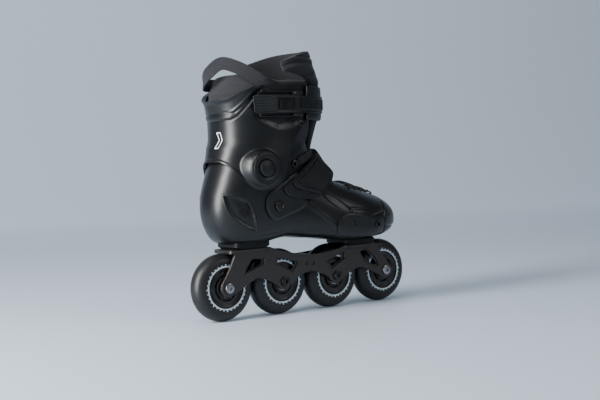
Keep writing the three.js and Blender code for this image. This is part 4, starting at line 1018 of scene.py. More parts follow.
def build_cuff():
    """The cuff between its lower and upper edges, with pivot rings, bolts and eyelets."""
    columns, rows = 330, 130
    front = solve(np.array(0.2), np.array(2.0), lambda w: level_skin(CUFF, 255.0, w)[..., 0] <= -8)
    angle = np.linspace(front, 2 * np.pi - front, columns)[None, :]
    flat = np.zeros((1, columns))
    low = solve(flat + 149, flat + 240, lambda z: z >= along(CUFF_LOW, level_skin(CUFF, z, angle)[..., 0]))
    high = solve(flat + 250, flat + 282, lambda z: z >= along(CUFF_HIGH, level_skin(CUFF, z, angle)[..., 0]))
    share = np.linspace(0, 1, rows)[:, None]
    z = low + (high - low) * share
    wide = angle + 0 * z
    cuff = slab("cuff_moulded", cuff_points(z, wide, 0.0), cuff_points(z, wide, size("cuff_wall")))
    bevel(cuff, 0.9, 3, 50)
    finish_piece(cuff, finish("shell_plastic"), CUFF_BODY, ["cuff"], 60)
    for side, word, dome in ((-1, "outer", 2.6), (1, "inner", 7.4)):
        ring = [[11.2, 49.2], [11.2, 51.6], [12.4, 52.3], [16.6, 52.6], [18.2, 52.2], [18.6, 51.4], [18.4, 49.2]]
        made = turned(f"pivot_ring_{word}", [[r, side * y] for r, y in ring], PIVOT_X, PIVOT_Z, 96)
        finish_piece(made, finish("nylon"), CUFF_BODY)
        bolt = np.array([
            [0.01, 39.8], [8, 39.8], [8, 49.4], [10.4, 49.4], [10.4, 51.6], [9.9, 52.2 + dome * 0.3],
            [8.4, 52.2 + dome * 0.66], [8.0, 52 + dome * 0.62], [7.4, 52.2 + dome * 0.62],
            [5.0, 52 + dome * 0.86], [2.5, 52 + dome * 0.97], [0.01, 52 + dome],
        ]) * [1, side]
        head = turned(f"pivot_bolt_{word}", bolt, PIVOT_X, PIVOT_Z, 96)
        finish_piece(head, finish("nylon"), ROOT, [f"cuff_pivot_bolt_{word}"])
        paint(f"cuff_pivot_nut_{word}", "steel")
        x, z = -30.0, 229.5
        y = side_reach(CUFF, x, z)
        eyelet = np.array([
            [1.6, y - 1.0], [1.7, y + 0.5], [2.4, y + 1.2], [3.6, y + 1.0], [4.2, y + 0.2], [4.2, y - 1.2],
        ])
        made = turned(f"cuff_eyelet_{word}", eyelet * [1, side], x, z, 40)
        finish_piece(made, finish("dark_steel"), CUFF_BODY)


def side_reach(table, x, z):
    """Half width of a level skin at a side-view point."""
    angle = solve(np.array(0.0), np.array(np.pi), lambda w: level_skin(table, z, w)[..., 0] <= x)
    return float(level_skin(table, z, angle)[..., 1])


def on_cuff(corners, lift):
    """Side-view points on the outer back of the cuff: angle and height to a place on its skin."""
    corners = np.asarray(corners, float)
    return level_skin(CUFF, corners[:, 1], corners[:, 0], -lift)


def outline_mark(name, corners, width, lift, thickness):
    """A thin outline ribbon on the cuff through (angle, height) corners, closed on itself."""
    corners = np.asarray(corners, float)
    closed = np.concatenate([corners, corners[:1]])
    pieces = []
    for k, (a, b) in enumerate(zip(closed[:-1], closed[1:])):
        t = np.linspace(-0.03, 1.03, 8)[:, None]
        path = a + (b - a) * t
        metre = np.array([55.0, 1.0])
        run = (b - a) * metre
        across = np.array([-run[1], run[0]]) / np.linalg.norm(run) * width / 2 / metre
        outer = np.stack([on_cuff(path - across, lift), on_cuff(path + across, lift)])
        inner = np.stack([on_cuff(path - across, lift - thickness), on_cuff(path + across, lift - thickness)])
        pieces.append(slab(f"{name}_{k}", outer, inner))
    return join(name, pieces)


def build_mark():
    """A plain outlined arrowhead, low on the back of the cuff's outer side."""
    middle, low, high = 2 * np.pi - 3.0, 203.0, 221.0
    reach = 0.085
    corners = [
        (middle - reach, low), (middle + 0.02, low), (middle + reach, (low + high) / 2),
        (middle + 0.02, high), (middle - reach, high), (middle, (low + high) / 2),
    ]
    mark = outline_mark("cuff_mark", corners, 1.1, 0.18, 0.5)
    finish_piece(mark, finish("mark"), CUFF_BODY)


# ------------------------------------------------------------------ liner
def build_liner():
    """The liner's collar and ankle: a padded wall whose top rolls over, blended across the ankle."""
    columns, rise = 240, 90
    angle = np.linspace(0, 2 * np.pi, columns, endpoint=True)[None, :]
    flat = np.zeros((1, columns))
    top = solve(flat + 250, flat + 300, lambda z: z >= along(COLLAR_HIGH, level_skin(COLLAR, z, angle)[..., 0]))
    share = np.linspace(0, 1, rise)[:, None]
    z = 152 + (top - 152) * share
    wide = angle + 0 * z
    puff = 2.0 * np.sin(np.clip((z - 236) / (top - 236), 0, 1) * np.pi) ** 0.5
    seam = np.exp(-(((z - (top - 13)) / 0.9) ** 2)) + np.exp(-(((z - (top - 26)) / 0.9) ** 2))
    back_seam = np.exp(-((angle - np.pi) / 0.012) ** 2)
    roll = 4.6 * (1 - np.sqrt(np.clip(1 - np.clip((z - top + 5) / 5, 0, 1) ** 2, 0, 1)))
    crumple = 0.45 * np.sin(9 * wide + 0.11 * z) * np.sin(0.23 * z + 2 * wide)
    outer_depth = 4.4 - puff + 1.1 * seam + 0.5 * back_seam + roll + crumple
    inner_depth = 13.2 + 0.4 * seam - roll * 0.9 + crumple
    outer = level_skin(COLLAR, z, wide, outer_depth)
    inner = level_skin(COLLAR, z, wide, inner_depth)
    liner = slab("liner_collar_padded", outer, inner, wrap=True)
    blend = (ROOT, CUFF_BODY, (-0.06, 0, 0.186), (-0.06, 0, 0.236))
    finish_piece(liner, finish("liner"), blend, ["liner_collar"], 70)


def build_foot_liner():
    """The foot part of the liner inside the shell, with its insole."""
    u, v, tip_row = shell_grid(30, 80, 96)
    outer = nosed(skin_at(BOOT, np.maximum(u, 1.0), v, 4.7), 0.3)
    inner = nosed(skin_at(BOOT, np.maximum(u, 2.0), v, 12.4), 0.3)
    for grid, floor in ((outer, 1.0), (inner, 5.0)):
        lift = np.interp(grid[..., 0], [-40, 50], [105.0, 92.4]) + floor
        grid[..., 2] = np.maximum(grid[..., 2], lift)
    radius = np.hypot(outer[..., 0] - PIVOT_X, outer[..., 2] - PIVOT_Z)
    limit = np.where(radius < 17, 39.3, 99)
    outer[..., 1] = np.clip(outer[..., 1], -limit, limit)
    foot = slab("liner_foot", outer, inner, weld_rows=tip_row + 5, cap_start=True)
    finish_piece(foot, finish("lining"), ROOT, ["liner"], 70)
    low, high = (np.array(corner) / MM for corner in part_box("insole"))
    a = np.linspace(0, 2 * np.pi, 120, endpoint=False)
    run = (np.cos(a) + 1) / 2
    cx = low[0] + 2 + (high[0] - low[0] - 4) * run
    half = np.interp(run, [0, 0.12, 0.45, 0.72, 1], [0.72, 0.78, 0.66, 0.97, 0.75]) * (high[1] - 2)
    cy = np.sign(np.sin(a)) * np.abs(np.sin(a)) ** 0.75 * half
    rows = []
    for lift, k in ((4.4, 0.01), (4.4, 0.98), (5.0, 1.0), (7.6, 1.0), (8.4, 0.97), (8.0, 0.5), (8.0, 0.01)):
        x = low[0] + (high[0] - low[0]) / 2 + (cx - (low[0] + high[0]) / 2) * k
        z = np.interp(x, [-40, 50], [105.6, 92.0]) + lift
        rows.append(np.stack([x, cy * k, z], -1))
    insole = closed_grid("insole_cloth", np.stack(rows))
    finish_piece(insole, finish("foam"), ROOT, ["insole"], 60)
    paint("heel_shock_pad", "rubber")


STITCHED_PANEL = [
    [-75, 283], [-60, 284], [-20, 286.5], [-4, 289], [3, 294.5], [0, 300.5], [-12, 303.5], [-34, 301.5],
    [-60, 294.5], [-75, 292],
]
# How far the tongue reaches round the foot at some of its sections: place, angle in radians.
TONGUE_SPREAD = np.array([
    [1.6, 0.12], [2.2, 0.2], [4, 0.36], [9, 0.58], [11, 0.66], [13, 0.78], [14.6, 0.86], [15.6, 1.15],
    [16.4, 1.5], [17.6, 1.55],
])


def build_tongue():
    """The tongue: a padded tab from the toe end of the slot, over the instep and up the shin."""
    rows, columns = 210, 120
    place = np.linspace(1.62, len(TONGUE) - 1.45, rows)[:, None]
    t = np.linspace(-1, 1, columns)[None, :]
    spread = along(TONGUE_SPREAD, place)
    angle = spread * t
    wing = np.abs(t) ** 3
    place = np.where(place > 15, place - wing * np.clip((place - 15.3) * 0.42, 0, 1.1), place)
    edge = 1 - (1 - np.abs(t) ** 6) ** 0.5
    top = np.clip((np.arange(rows)[:, None] - rows + 10) / 10, 0, 1)
    roll = 3.4 * (1 - np.sqrt(1 - top**2)) + 3.2 * edge
    body = section_at(TONGUE, np.broadcast_to(place, (rows, columns)))
    z = body[..., 1]
    seam = np.exp(-((z - 309) / 0.9) ** 2) + np.exp(-((np.abs(t) - 0.3) / 0.016) ** 2) * (z > 236)
    pads = 0.8 * np.sin(np.clip(z / 9.5, 0, 60) * np.pi) ** 2 * (z < 205)
    shin = smooth(196, 236, z)
    plain = skin_at(TONGUE, place + 0 * t, angle)
    panel = polygon_distance(np.maximum(plain[..., 0], -63), plain[..., 2], STITCHED_PANEL)
    puff = 1.5 * smooth(262, 276, z) * np.abs(np.sin((z - 264) / 38 * np.pi)) ** 0.5
    puff = puff - 0.9 * np.exp(-((panel / 1.4) ** 2)) + 1.2 * smooth(-0.5, -5.0, panel)
    puff = puff + 0.6 * np.sin(7 * t + 0.2 * z) * np.sin(0.31 * z - 4 * t) * smooth(262, 276, z)
    outer_depth = 3.2 * (1 - shin) - 0.4 * shin + roll + 1.2 * seam - 0.5 * pads - puff
    inner_depth = 10.2 * (1 - shin) + 8.2 * shin - roll * 0.9
    outer = skin_at(TONGUE, place + 0 * t, angle, outer_depth)
    inner = skin_at(TONGUE, place + 0 * t, angle, np.maximum(inner_depth, outer_depth + 0.4))
    tongue = slab("tongue_padded", outer, inner)
    blend = (ROOT, CUFF_BODY, (0.02, 0, 0.204), (0.028, 0, 0.238))
    finish_piece(tongue, finish("liner"), blend, ["tongue_lower", "tongue_shin"], 70)


LOOP_ROUTE = [
    (-62, -48.2, 270), (-80, -47.6, 276), (-95, -40, 287), (-107, -28.5, 296), (-117, -13, 301),
    (-124, 2, 292), (-124, 14, 284), (-117, 27, 280), (-106, 37, 279), (-88, 46, 280), (-76, 48, 281),
]


def build_loop():
    """The heel pull loop: a flat band carried along its route, leaning out a little at the top."""
    path = smooth_path(LOOP_ROUTE, 130)
    ahead = np.gradient(path, axis=0)
    ahead /= np.linalg.norm(ahead, axis=1, keepdims=True)
    out = np.cross(ahead, [0, 0, 1])
    out /= np.linalg.norm(out, axis=1, keepdims=True)
    w = np.linspace(-1, 1, 13)[None, :, None]
    bow = 0.6 * (1 - w**2)
    rise = np.cross(out, ahead)[:, None] * size("loop_width") / 2 * w
    outer = path[:, None] + rise + out[:, None] * (1.0 + bow)
    inner = path[:, None] + rise + out[:, None] * (-1.0 + bow)
    loop = slab("heel_pull_loop_band", outer, inner)
    bevel(loop, 0.6, 2, 50)
    finish_piece(loop, finish("webbing"), CUFF_BODY, ["heel_pull_loop"], 60)


# ------------------------------------------------------------------ top buckle
def band_angle(x, z=STRAP_Z, offset=5.0):
    """The angle on the band's oval, on its outer side, where it passes x."""
    return solve(np.array(0.0), np.array(np.pi), lambda w: level_skin(BAND, z, w, -offset)[..., 0] <= x)


def band_slab(name, table, x_outer, x_inner, z0, z1, near, far, relief=None, columns=160, rows=22):
    """A curved strip on an oval, from x_outer on the outer side round the front to x_inner."""
    start = -band_angle(x_outer)
    end = band_angle(x_inner) if x_inner is not None else start
    angle = np.linspace(start, end, columns)[None, :]
    z = np.linspace(z0, z1, rows)[:, None] + 0 * angle
    lift = far + (relief(angle + 0 * z, z) if relief else 0)
    return slab(name, level_skin(table, z, angle + 0 * z, -lift), level_skin(table, z, angle + 0 * z, -near))


def side_slab(name, table, x0, x1, z0, z1, near, far, relief=None, columns=90, rows=28):
    """A curved plate on the outer side between two places along the boot."""
    a, b = band_angle(x0), band_angle(x1)
    angle = -np.linspace(a, b, columns)[None, :]
    z = np.linspace(z0, z1, rows)[:, None] + 0 * angle
    wide = angle + 0 * z
    x = level_skin(table, z, wide)[..., 0]
    lift = far + (relief(x, z) if relief else 0)
    return slab(name, level_skin(table, z, wide, -lift), level_skin(table, z, wide, -near))


GUIDE_X = 23.5


def build_buckle():
    """The toothed strap, shin band, buckle base, lever, tab and guide, each a strip on its oval."""
    middle = STRAP_Z

    def teeth(angle, z):
        run = np.abs(angle) * 46
        tooth = (run / 3.6) % 1
        band = 1 - smooth(5.6, 6.4, np.abs(z - middle))
        return 0.9 * tooth * band * (angle < 0.9)

    strap = band_slab("ladder_strap_toothed", BAND, -76, -38, 241.5, 261.5, 3.2, 4.3, teeth, 420, 24)
    bevel(strap, 0.3, 1, 60)
    finish_piece(strap, finish("nylon"), CUFF_BODY, ["ladder_strap"], 30)

    def pad_form(angle, z):
        edge = np.minimum(z - 233, 273 - z)
        return 0.5 * smooth(1.0, 3.5, edge) - 0.5

    pad = band_slab("shin_band_moulded", BAND, -20, -20, 233, 273, 0.5, 2.9, pad_form, 150, 40)
    bevel(pad, 0.6, 2, 50)
    finish_piece(pad, finish("nylon"), CUFF_BODY, ["shin_band"], 50)

    def base_form(x, z):
        return 1.2 * (1 - smooth(1.0, 2.4, np.minimum(z - 237, 266 - z)))

    base = side_slab("buckle_base_moulded", CUFF, -93, -30, 237, 266, 0.4, 2.9, base_form, 90, 40)
    cheeks = [
        side_slab(f"cheek_{k}", BAND, -47, -36, z0, z1, 0.6, 10.0, None, 16, 6)
        for k, (z0, z1) in enumerate(((237, 240.6), (262.4, 266)))
    ]
    base = join("buckle_base_moulded", [base, *cheeks])
    bevel(base, 0.7, 2, 50)
    finish_piece(base, finish("nylon"), CUFF_BODY, ["buckle_base"], 40)
    paint("buckle_lever_pin", "steel")
    paint("ladder_strap_rivet", "steel")

    def lever_form(x, z):
        across = np.abs(z - middle)
        rib = 0.6 * (0.5 + 0.5 * np.cos((z - middle) * 2 * np.pi / 3.4)) * smooth(-70, -72, x) * smooth(-95, -93, x)
        well = -1.3 * (1 - smooth(6.0, 7.0, across)) * smooth(-69.5, -68.5, x) * (1 - smooth(-48, -47, x))
        rim = 0.4 * smooth(8.2, 9.2, across)
        return rib + well + rim

    lever = side_slab("buckle_lever_moulded", BAND, -96.4, -39.6, 241, 262, 6.3, 9.1, lever_form, 190, 70)
    bevel(lever, 0.7, 2, 55)
    finish_piece(lever, finish("nylon"), "lever", ["buckle_lever"], 40)
    trim = side_slab("buckle_lever_trim", BAND, -98.4, -96.0, 242.0, 261.0, 6.6, 9.7, None, 8, 12)
    bevel(trim, 0.4, 2, 50)
    finish_piece(trim, finish("nylon"), "lever")

    def tab_form(x, z):
        return 0.5 * (0.5 + 0.5 * np.cos(x * 2 * np.pi / 2.6)) * (x < -58)

    tab = side_slab("release_tab_moulded", BAND, -67.6, -48.4, middle - 5.2, middle + 5.2, 7.6, 9.2, tab_form, 60, 12)
    bevel(tab, 0.5, 2, 55)
    finish_piece(tab, finish("dark_nylon"), "release_tab", ["buckle_release_tab"], 40)

    angle = np.linspace(0, 2 * np.pi, 60, endpoint=False)
    z = middle + 12.0 * np.sign(np.sin(angle)) * np.abs(np.sin(angle)) ** 0.25
    out = 5.6 + 3.0 * np.sign(np.cos(angle)) * np.abs(np.cos(angle)) ** 0.3
    rings = []
    for reach in (-4.6, -4.0, 4.0, 4.6):
        away = 1.1 if abs(reach) < 4.5 else 0.7
        x = GUIDE_X + out + away * np.cos(angle)
        rings.append(np.stack([x, np.full_like(x, reach), z + away * np.sin(angle)], -1))
    inner = [
        np.stack([GUIDE_X + out - 0.9 * np.cos(angle), np.full_like(z, reach), z - 0.9 * np.sin(angle)], -1)
        for reach in (4.3, -4.3)
    ]
    guide = closed_grid("strap_guide_loop", np.stack([*rings, *inner]), wrap_rows=True)
    finish_piece(guide, finish("nylon"), CUFF_BODY, ["strap_guide"], 40)


# ------------------------------------------------------------------ instep strap
STRAP_START = np.array([-55.0, 135.0])
STRAP_RUN = np.array([84.0, 48.0])
STRAP_LENGTH = float(np.hypot(*STRAP_RUN))
STRAP_ALONG = STRAP_RUN / STRAP_LENGTH
STRAP_ACROSS = np.array([-STRAP_ALONG[1], STRAP_ALONG[0]])


def strap_place(angle, offset):
    """The boot section whose point at this angle is offset across the strap's middle line."""
    def reached(place):
        p = skin_at(BOOT, place, angle)
        away = (p[..., 0] - STRAP_START[0]) * STRAP_ACROSS[0] + (p[..., 2] - STRAP_START[1]) * STRAP_ACROSS[1]
        return away >= offset
    return solve(np.full(angle.shape, 5.0), np.full(angle.shape, 17.5), reached)


def strap_end_angle(share, offset=0.0):
    """The angle on the outer side where the strap's middle line reaches a share of its length."""
    def reached(angle):
        p = skin_at(BOOT, strap_place(angle, np.array(offset)), angle)
        run = (p[..., 0] - STRAP_START[0]) * STRAP_ALONG[0] + (p[..., 2] - STRAP_START[1]) * STRAP_ALONG[1]
        return run <= share * STRAP_LENGTH
    return float(solve(np.array(0.3), np.array(2.2), reached))


def strap_slab(name, half, outer_share, inner_share, near, far, relief=None, columns=150, rows=30):
    """A band round the instep between two shares of its length, one on each side."""
    start = -strap_end_angle(outer_share)
    end = strap_end_angle(inner_share) if inner_share >= 0 else -strap_end_angle(-inner_share)
    angle = np.linspace(start, end, columns)[None, :]
    across = np.linspace(-half, half, rows)[:, None] + 0 * angle
    wide = angle + 0 * across
    place = strap_place(wide, across)
    lift = far + (relief(across, (wide - start) / (end - start)) if relief else 0)
    return slab(name, skin_at(BOOT, place, wide, -lift), skin_at(BOOT, place, wide, -near))


def wing_slab(name, shape, side, near, far, relief=None):
    """A plate on the side of the boot: a fan of lines from its middle out to its outline."""
    shape = np.asarray(shape, float)
    middle = shape.mean(axis=0)
    rim = smooth_path(np.concatenate([shape, shape[:1]]), 121)
    share = np.concatenate([[0.004], np.linspace(0.08, 1, 26)])[:, None]
    px = middle[0] + (rim[None, :, 0] - middle[0]) * share
    pz = middle[1] + (rim[None, :, 1] - middle[1]) * share
    place, angle = side_to_skin(px, pz)
    lift = far + (relief(px, pz, share + 0 * px) if relief else 0)
    outer = skin_at(BOOT, place, side * angle, -lift)
    inner = skin_at(BOOT, place, side * angle, -near)
    return slab(name, outer, inner, wrap=True, cap_start=True)


def rim_slab(name, shape, side, width, near, far):
    """A raised border round a side-view outline: the outline and its copy moved outward."""
    shape = np.asarray(shape, float)
    middle = shape.mean(axis=0)
    rim = smooth_path(np.concatenate([shape, shape[:1]]), 161)
    ahead = np.gradient(rim, axis=0)
    ahead[[0, -1]] = (ahead[0] + ahead[-1]) / 2
    across = np.column_stack([ahead[:, 1], -ahead[:, 0]]) / np.linalg.norm(ahead, axis=1, keepdims=True)
    across *= np.sign(((rim - middle) * across).sum(axis=1).mean())
    reach = np.linspace(0, width, 7)[:, None]
    px = rim[None, :, 0] + across[None, :, 0] * reach
    pz = rim[None, :, 1] + across[None, :, 1] * reach
    place, angle = side_to_skin(px, pz)
    bow = far * np.sqrt(np.clip(1 - (2 * reach / width - 1) ** 2, 0, 1)) + 0 * px
    outer = skin_at(BOOT, place, side * angle, -bow)
    inner = skin_at(BOOT, place, side * angle, -near)
    return slab(name, outer, inner, wrap=True)


def side_to_skin(px, pz):
    """Place and angle on the boot of a side-view point, by turns solving one and then the other."""
    angle = np.full(px.shape, 1.6)
    place = np.full(px.shape, 8.0)
    for _ in range(40):
        section = section_at(BOOT, place)
        tx, tz, bx, bz = (section[..., k] for k in range(4))
        run_x, run_z = bx - tx, bz - tz
        square = run_x**2 + run_z**2
        share = np.clip(((px - tx) * run_x + (pz - tz) * run_z) / square, 0.02, 0.98)
        miss = ((px - tx) * run_z - (pz - tz) * run_x) / np.sqrt(square)
        place = np.clip(place + 0.055 * miss, 0.2, 18.6)
        crest = section[..., 5]
        front = share < crest
        reach = np.where(front, 1 - share / crest, (share - crest) / (1 - crest))
        power = np.where(front, section[..., 6], section[..., 7])
        cosine = reach ** (power / 2)
        angle = np.where(front, np.arccos(cosine), np.pi - np.arccos(cosine))
    return place, angle


WING = [[-51, 163], [-75, 150], [-82, 139], [-80, 126], [-69, 117], [-51, 121], [-22, 134], [-30, 168], [-42, 168]]
PLATE = [[21, 99], [22, 108], [28, 116], [42, 119], [62, 115], [85, 109], [84, 91.5], [55, 90], [26, 93]]


def build_instep_strap():
    """Wings with rivets, webbing, eyelet band, hook flap and patch, each laid on the boot's skin."""
    for side, word in SIDES:
        def wing_form(px, pz, share):
            return -1.1 * smooth(0.86, 1.0, share) + 0.25 * smooth(0.5, 0.7, share)
        wing = wing_slab(f"instep_wing_{word}_moulded", WING, side, 0.4, 3.1, wing_form)
        finish_piece(wing, finish("nylon"), ROOT, [f"instep_wing_{word}"], 40)
        low, high = 45.9, 48.3
        rivet = np.array([
            [0.01, 34.2], [2.6, 34.2], [2.6, low + 0.2], [5.9, low + 0.2], [5.9, low + 0.9], [5.0, high - 0.5],
            [4.2, high - 0.3], [3.9, high - 0.9], [0.01, high - 0.7],
        ]) * [1, side]
        head = turned(f"instep_rivet_{word}_turned", rivet, -65, 133, 48)
        finish_piece(head, finish("dark_steel"), ROOT, [f"instep_rivet_{word}"])

    def webbing_form(across, run):
        return 0.25 * np.cos(across * 2 * np.pi / 2.4) - 0.7 * smooth(16.5, 19, np.abs(across))

    webbing = strap_slab("instep_strap_webbing", 19, 0.16, 0.16, 3.7, 6.0, webbing_form, 180, 60)
    finish_piece(webbing, finish("webbing"), ROOT, ["instep_strap"], 60)

    ends = strap_end_angle(0.44, 30)
    angle = np.linspace(-ends, ends, 150)[None, :]
    t = np.linspace(-1, 1, 24)[:, None]
    wide = angle + 0 * t
    taper = np.sqrt(np.clip(1 - np.clip((np.abs(wide) - ends + 0.13) / 0.13, 0, 1) ** 2, 0.02, 1))
    place = strap_place(wide, 17 + 13.5 * (np.abs(wide) / ends) ** 1.4 + 5.2 * t * taper)
    lift = 0.7 + 2.0 * np.sqrt(np.clip(1 - t**4, 0, 1)) * taper
    rolled = slab("ankle_pad_band", skin_at(BOOT, place, wide, -lift), skin_at(BOOT, place, wide, -0.3))
    finish_piece(rolled, finish("lining"), ROOT, crease=60)
    for side, word in SIDES:
        y = float(np.abs(skin_at(BOOT, *side_to_skin(np.array(-36.0), np.array(181.5)), -1.0)[..., 1]))
        ring = np.array([
            [2.0, y - 1.5], [2.1, y + 0.9], [3.0, y + 1.7], [4.4, y + 1.4], [5.0, y + 0.4], [5.0, y - 2.0],
        ])
        made = turned(f"ankle_eyelet_{word}", ring * [1, side], -36, 181.5, 40)
        finish_piece(made, finish("dark_steel"), ROOT)

    def flap_form(across, run):
        seam = np.exp(-((np.abs(across) - 15.2) / 0.5) ** 2)
        return 0.2 * np.cos(run * 260) - 0.5 * smooth(15.5, 17.5, np.abs(across)) - 0.35 * seam

    flap = strap_slab("instep_strap_flap_webbing", 17.5, 0.3, 0.82, 6.8, 8.8, flap_form, 200, 50)
    bevel(flap, 0.3, 1, 60)
    finish_piece(flap, finish("webbing"), "instep_flap", ["instep_strap_flap"], 60)

    def patch_form(across, run):
        edge = np.minimum(14 - np.abs(across), np.minimum(run, 1 - run) * 40)
        return 0.8 * (1 - smooth(1.3, 2.1, edge)) - 0.4 + 0.15 * np.cos(across * 2.2) * smooth(2.2, 3.2, edge)

    patch = strap_slab("instep_strap_patch_rubber", 14, 0.36, -0.78, 9.2, 10.7, patch_form, 90, 50)
    bevel(patch, 0.3, 1, 60)
    finish_piece(patch, finish("rubber"), "instep_flap", ["instep_strap_patch"], 40)


# ------------------------------------------------------------------ wear plates, lace and rings
def build_trim():
    """The wear plates at the sides of the toe and their screws."""
    for side, word in SIDES:
        def plate_form(px, pz, share):
            return -0.9 * smooth(0.84, 1.0, share) + 0.3 * smooth(0.3, 0.8, share)
        made = wing_slab(f"wear_plate_{word}_moulded", PLATE, side, 0.4, 2.7, plate_form)
        finish_piece(made, finish("nylon"), ROOT, [f"wear_plate_{word}"], 40)
        for k, (x, z) in enumerate(((42, 105.5), (80, 102.5))):
            px, pz = np.array([[float(x)]]), np.array([[float(z)]])
            place, angle = side_to_skin(px, pz)
            y = float(np.abs(skin_at(BOOT, place, angle, -2.6)[..., 1])[0, 0])
            screw = np.array([
                [0.01, y - 1.0], [1.7, y - 1.0], [1.9, y + 0.4], [2.4, y + 0.9], [3.3, y + 0.8],
                [3.9, y + 0.2], [3.9, y - 1.4], [0.01, y - 1.4],
            ]) * [1, side]
            head = turned(f"plate_screw_{word}_{k}", screw, x, z, 32)
            finish_piece(head, finish("dark_steel"), ROOT)


def surface_top(x, y):
    """Height of the boot's upper face over a point, from its sections."""
    angle = np.array(0.0)
    place = solve(np.array(2.0), np.array(12.0), lambda u: section_at(BOOT, u)[..., 0] <= x)
    half = section_at(BOOT, place)[..., 4]
    angle = np.arcsin(np.clip(abs(y) / half, 0, 0.98))
    return float(skin_at(BOOT, place, angle)[..., 2])


def build_lace():
    """The lace, a cord that crosses the slot row by row, and a ring at each of its turns."""
    rows = [99, 88.5, 78, 67.5, 57]
    half = lambda x: np.interp(x, [30, 93], [24, 10]) + 5
    seat = lambda x, sign: (x, sign * half(x) + toe_lean(x), surface_top(x, half(x)) + 2.2)
    mid = lambda x, lift: (x, toe_lean(x), surface_top(x, 0.0) - 0.9 + lift)
    halves = []
    for first, lift in ((1, 0.0), (-1, 3.4)):
        strand = []
        for k, x in enumerate(rows[1:]):
            sign = first if k % 2 == 0 else -first
            strand += [mid((rows[k] + x) / 2, lift), seat(x, sign)]
        halves.append(strand)
    route = [*halves[0][::-1], seat(rows[0], -1), seat(rows[0], 1), *halves[1]]
    lace = tube("lace_cord", smooth_path(route, 420), size("lace_thickness") / 2, 10)
    finish_piece(lace, finish("cord"), ROOT, ["lace"], 80)
    for k, x in enumerate(rows):
        for sign in (-1, 1):
            y = sign * (half(x) + 1.5) + toe_lean(x)
            z = surface_top(x, half(x) + 1.5)
            a = np.linspace(0, 2 * np.pi, 40, endpoint=False)[None, :]
            b = np.linspace(0, 2 * np.pi, 14, endpoint=False)[:, None]
            ring = 4.0 + 1.1 * np.cos(b)
            tilt = sign * 0.42
            ly = ring * np.sin(a)
            lz = 0.9 * np.sin(b) + 0 * a
            px = x + ring * np.cos(a)
            py = y + ly * math.cos(tilt) + lz * math.sin(tilt)
            pz = z + 0.5 - ly * math.sin(tilt) + lz * math.cos(tilt)
            letter = "a" if sign < 0 else "b"
            points = np.stack([px, py, pz], -1)
            ring_piece = closed_grid(f"lace_ring_{k}_{letter}", points, wrap_rows=True)
            finish_piece(ring_piece, finish("dark_steel"), ROOT)


# ------------------------------------------------------------------ stage, lights and camera
def area_light(name, place, aim, width_height, power):
    """A rectangular lamp at a place, aimed at a point."""
    light = bpy.data.lights.new(name, "AREA")
    light.shape = "RECTANGLE"
    light.size, light.size_y = width_height
    light.energy = power
    lamp = bpy.data.objects.new(name, light)
    bpy.context.scene.collection.objects.link(lamp)
    lamp.location = place
    lamp.rotation_euler = (Vector(aim) - Vector(place)).to_track_quat("-Z", "Y").to_euler()


def build_stage():
    """A pale sweep: a floor that curves up into a softly glowing wall, brighter far back and to the left."""
    colours = bpy.context.scene.skate_colours
    material, tree, shader, where = new_material("Pale sweep")
    cloud = noise(tree, where, 1.5, 3.0)
    pale = tuple(colours.backdrop)
    colour = mixed_colour(tree, cloud, tuple(c * 0.985 for c in pale), pale)
    tree.links.new(colour, shader.inputs["Base Color"])
    tree.links.new(colour, shader.inputs["Emission Color"])
    yaw = math.radians(-37.4)
    fx, fy = -math.sin(yaw), math.cos(yaw)
    sx, sy = math.cos(yaw), math.sin(yaw)
    split = tree.nodes.new("ShaderNodeSeparateXYZ")
    tree.links.new(where, split.inputs[0])

    def towards(a, b):
        """x times a plus y times b, in metres."""
        first = math_node(tree, "MULTIPLY", split.outputs[0], a)
        return math_node(tree, "ADD", first, math_node(tree, "MULTIPLY", split.outputs[1], b))

    # Painted light: the sweep's own emission, faint near the skate and rising far back and to the left, stands in for
    # light falling on floor and wall.
    far = math_node(tree, "MULTIPLY", towards(fx, fy), 0.4, True)
    glow = math_node(tree, "ADD", math_node(tree, "MULTIPLY", far, 0.50), 0.02)
    glow = math_node(tree, "SUBTRACT", glow, math_node(tree, "MULTIPLY", towards(sx, sy), 0.12), True)
    tree.links.new(glow, shader.inputs["Emission Strength"])
    shader.inputs["Roughness"].default_value = 0.55
    shader.inputs["Specular IOR Level"].default_value = 0.25
    reach = np.linspace(-5, 5, 3)[None, :]
    t = np.linspace(0, 1, 40)[:, None]
    turn = np.clip((t - 0.35) / 0.4, 0, 1) * math.pi / 2
    away = np.where(t < 0.35, -6 + t / 0.35 * 8.6, 2.6 + 1.6 * np.sin(turn))
    up = np.where(t < 0.35, 0, 1.6 * (1 - np.cos(turn))) + np.clip(t - 0.75, 0, 1) * 16
    x = away * fx + reach * sx
    y = away * fy + reach * sy
    z = up + 0 * reach
    ids = np.arange(40 * 3).reshape(40, 3)
    mesh = bpy.data.meshes.new("sweep")
    mesh.from_pydata(np.stack([x, y, z], -1).reshape(-1, 3).tolist(), [], quads(ids).tolist())
    mesh.polygons.foreach_set("use_smooth", np.ones(len(mesh.polygons), bool))
    mesh.materials.append(material)
    sweep = link("sweep", mesh)
    world = bpy.data.worlds.new("Soft studio")
    world.use_nodes = True
    shade = world.node_tree.nodes["Background"]
    shade.inputs["Color"].default_value = (0.88, 0.93, 1.0, 1)
    shade.inputs["Strength"].default_value = 0.12
    bpy.context.scene.world = world
    area_light("left_bank", (-1.5, -0.05, 0.62), (-0.05, 0, 0.17), (0.4, 1.3), 62)
    area_light("right_bank", (0.75, -1.35, 0.95), (0.02, 0, 0.15), (0.4, 0.8), 5)
    area_light("top_bank", (0.1, 0.25, 2.0), (0, 0, 0.1), (1.2, 0.7), 6)
    area_light("high_bank", (-0.95, -0.75, 1.6), (0.02, 0, 0.15), (0.7, 0.5), 10)


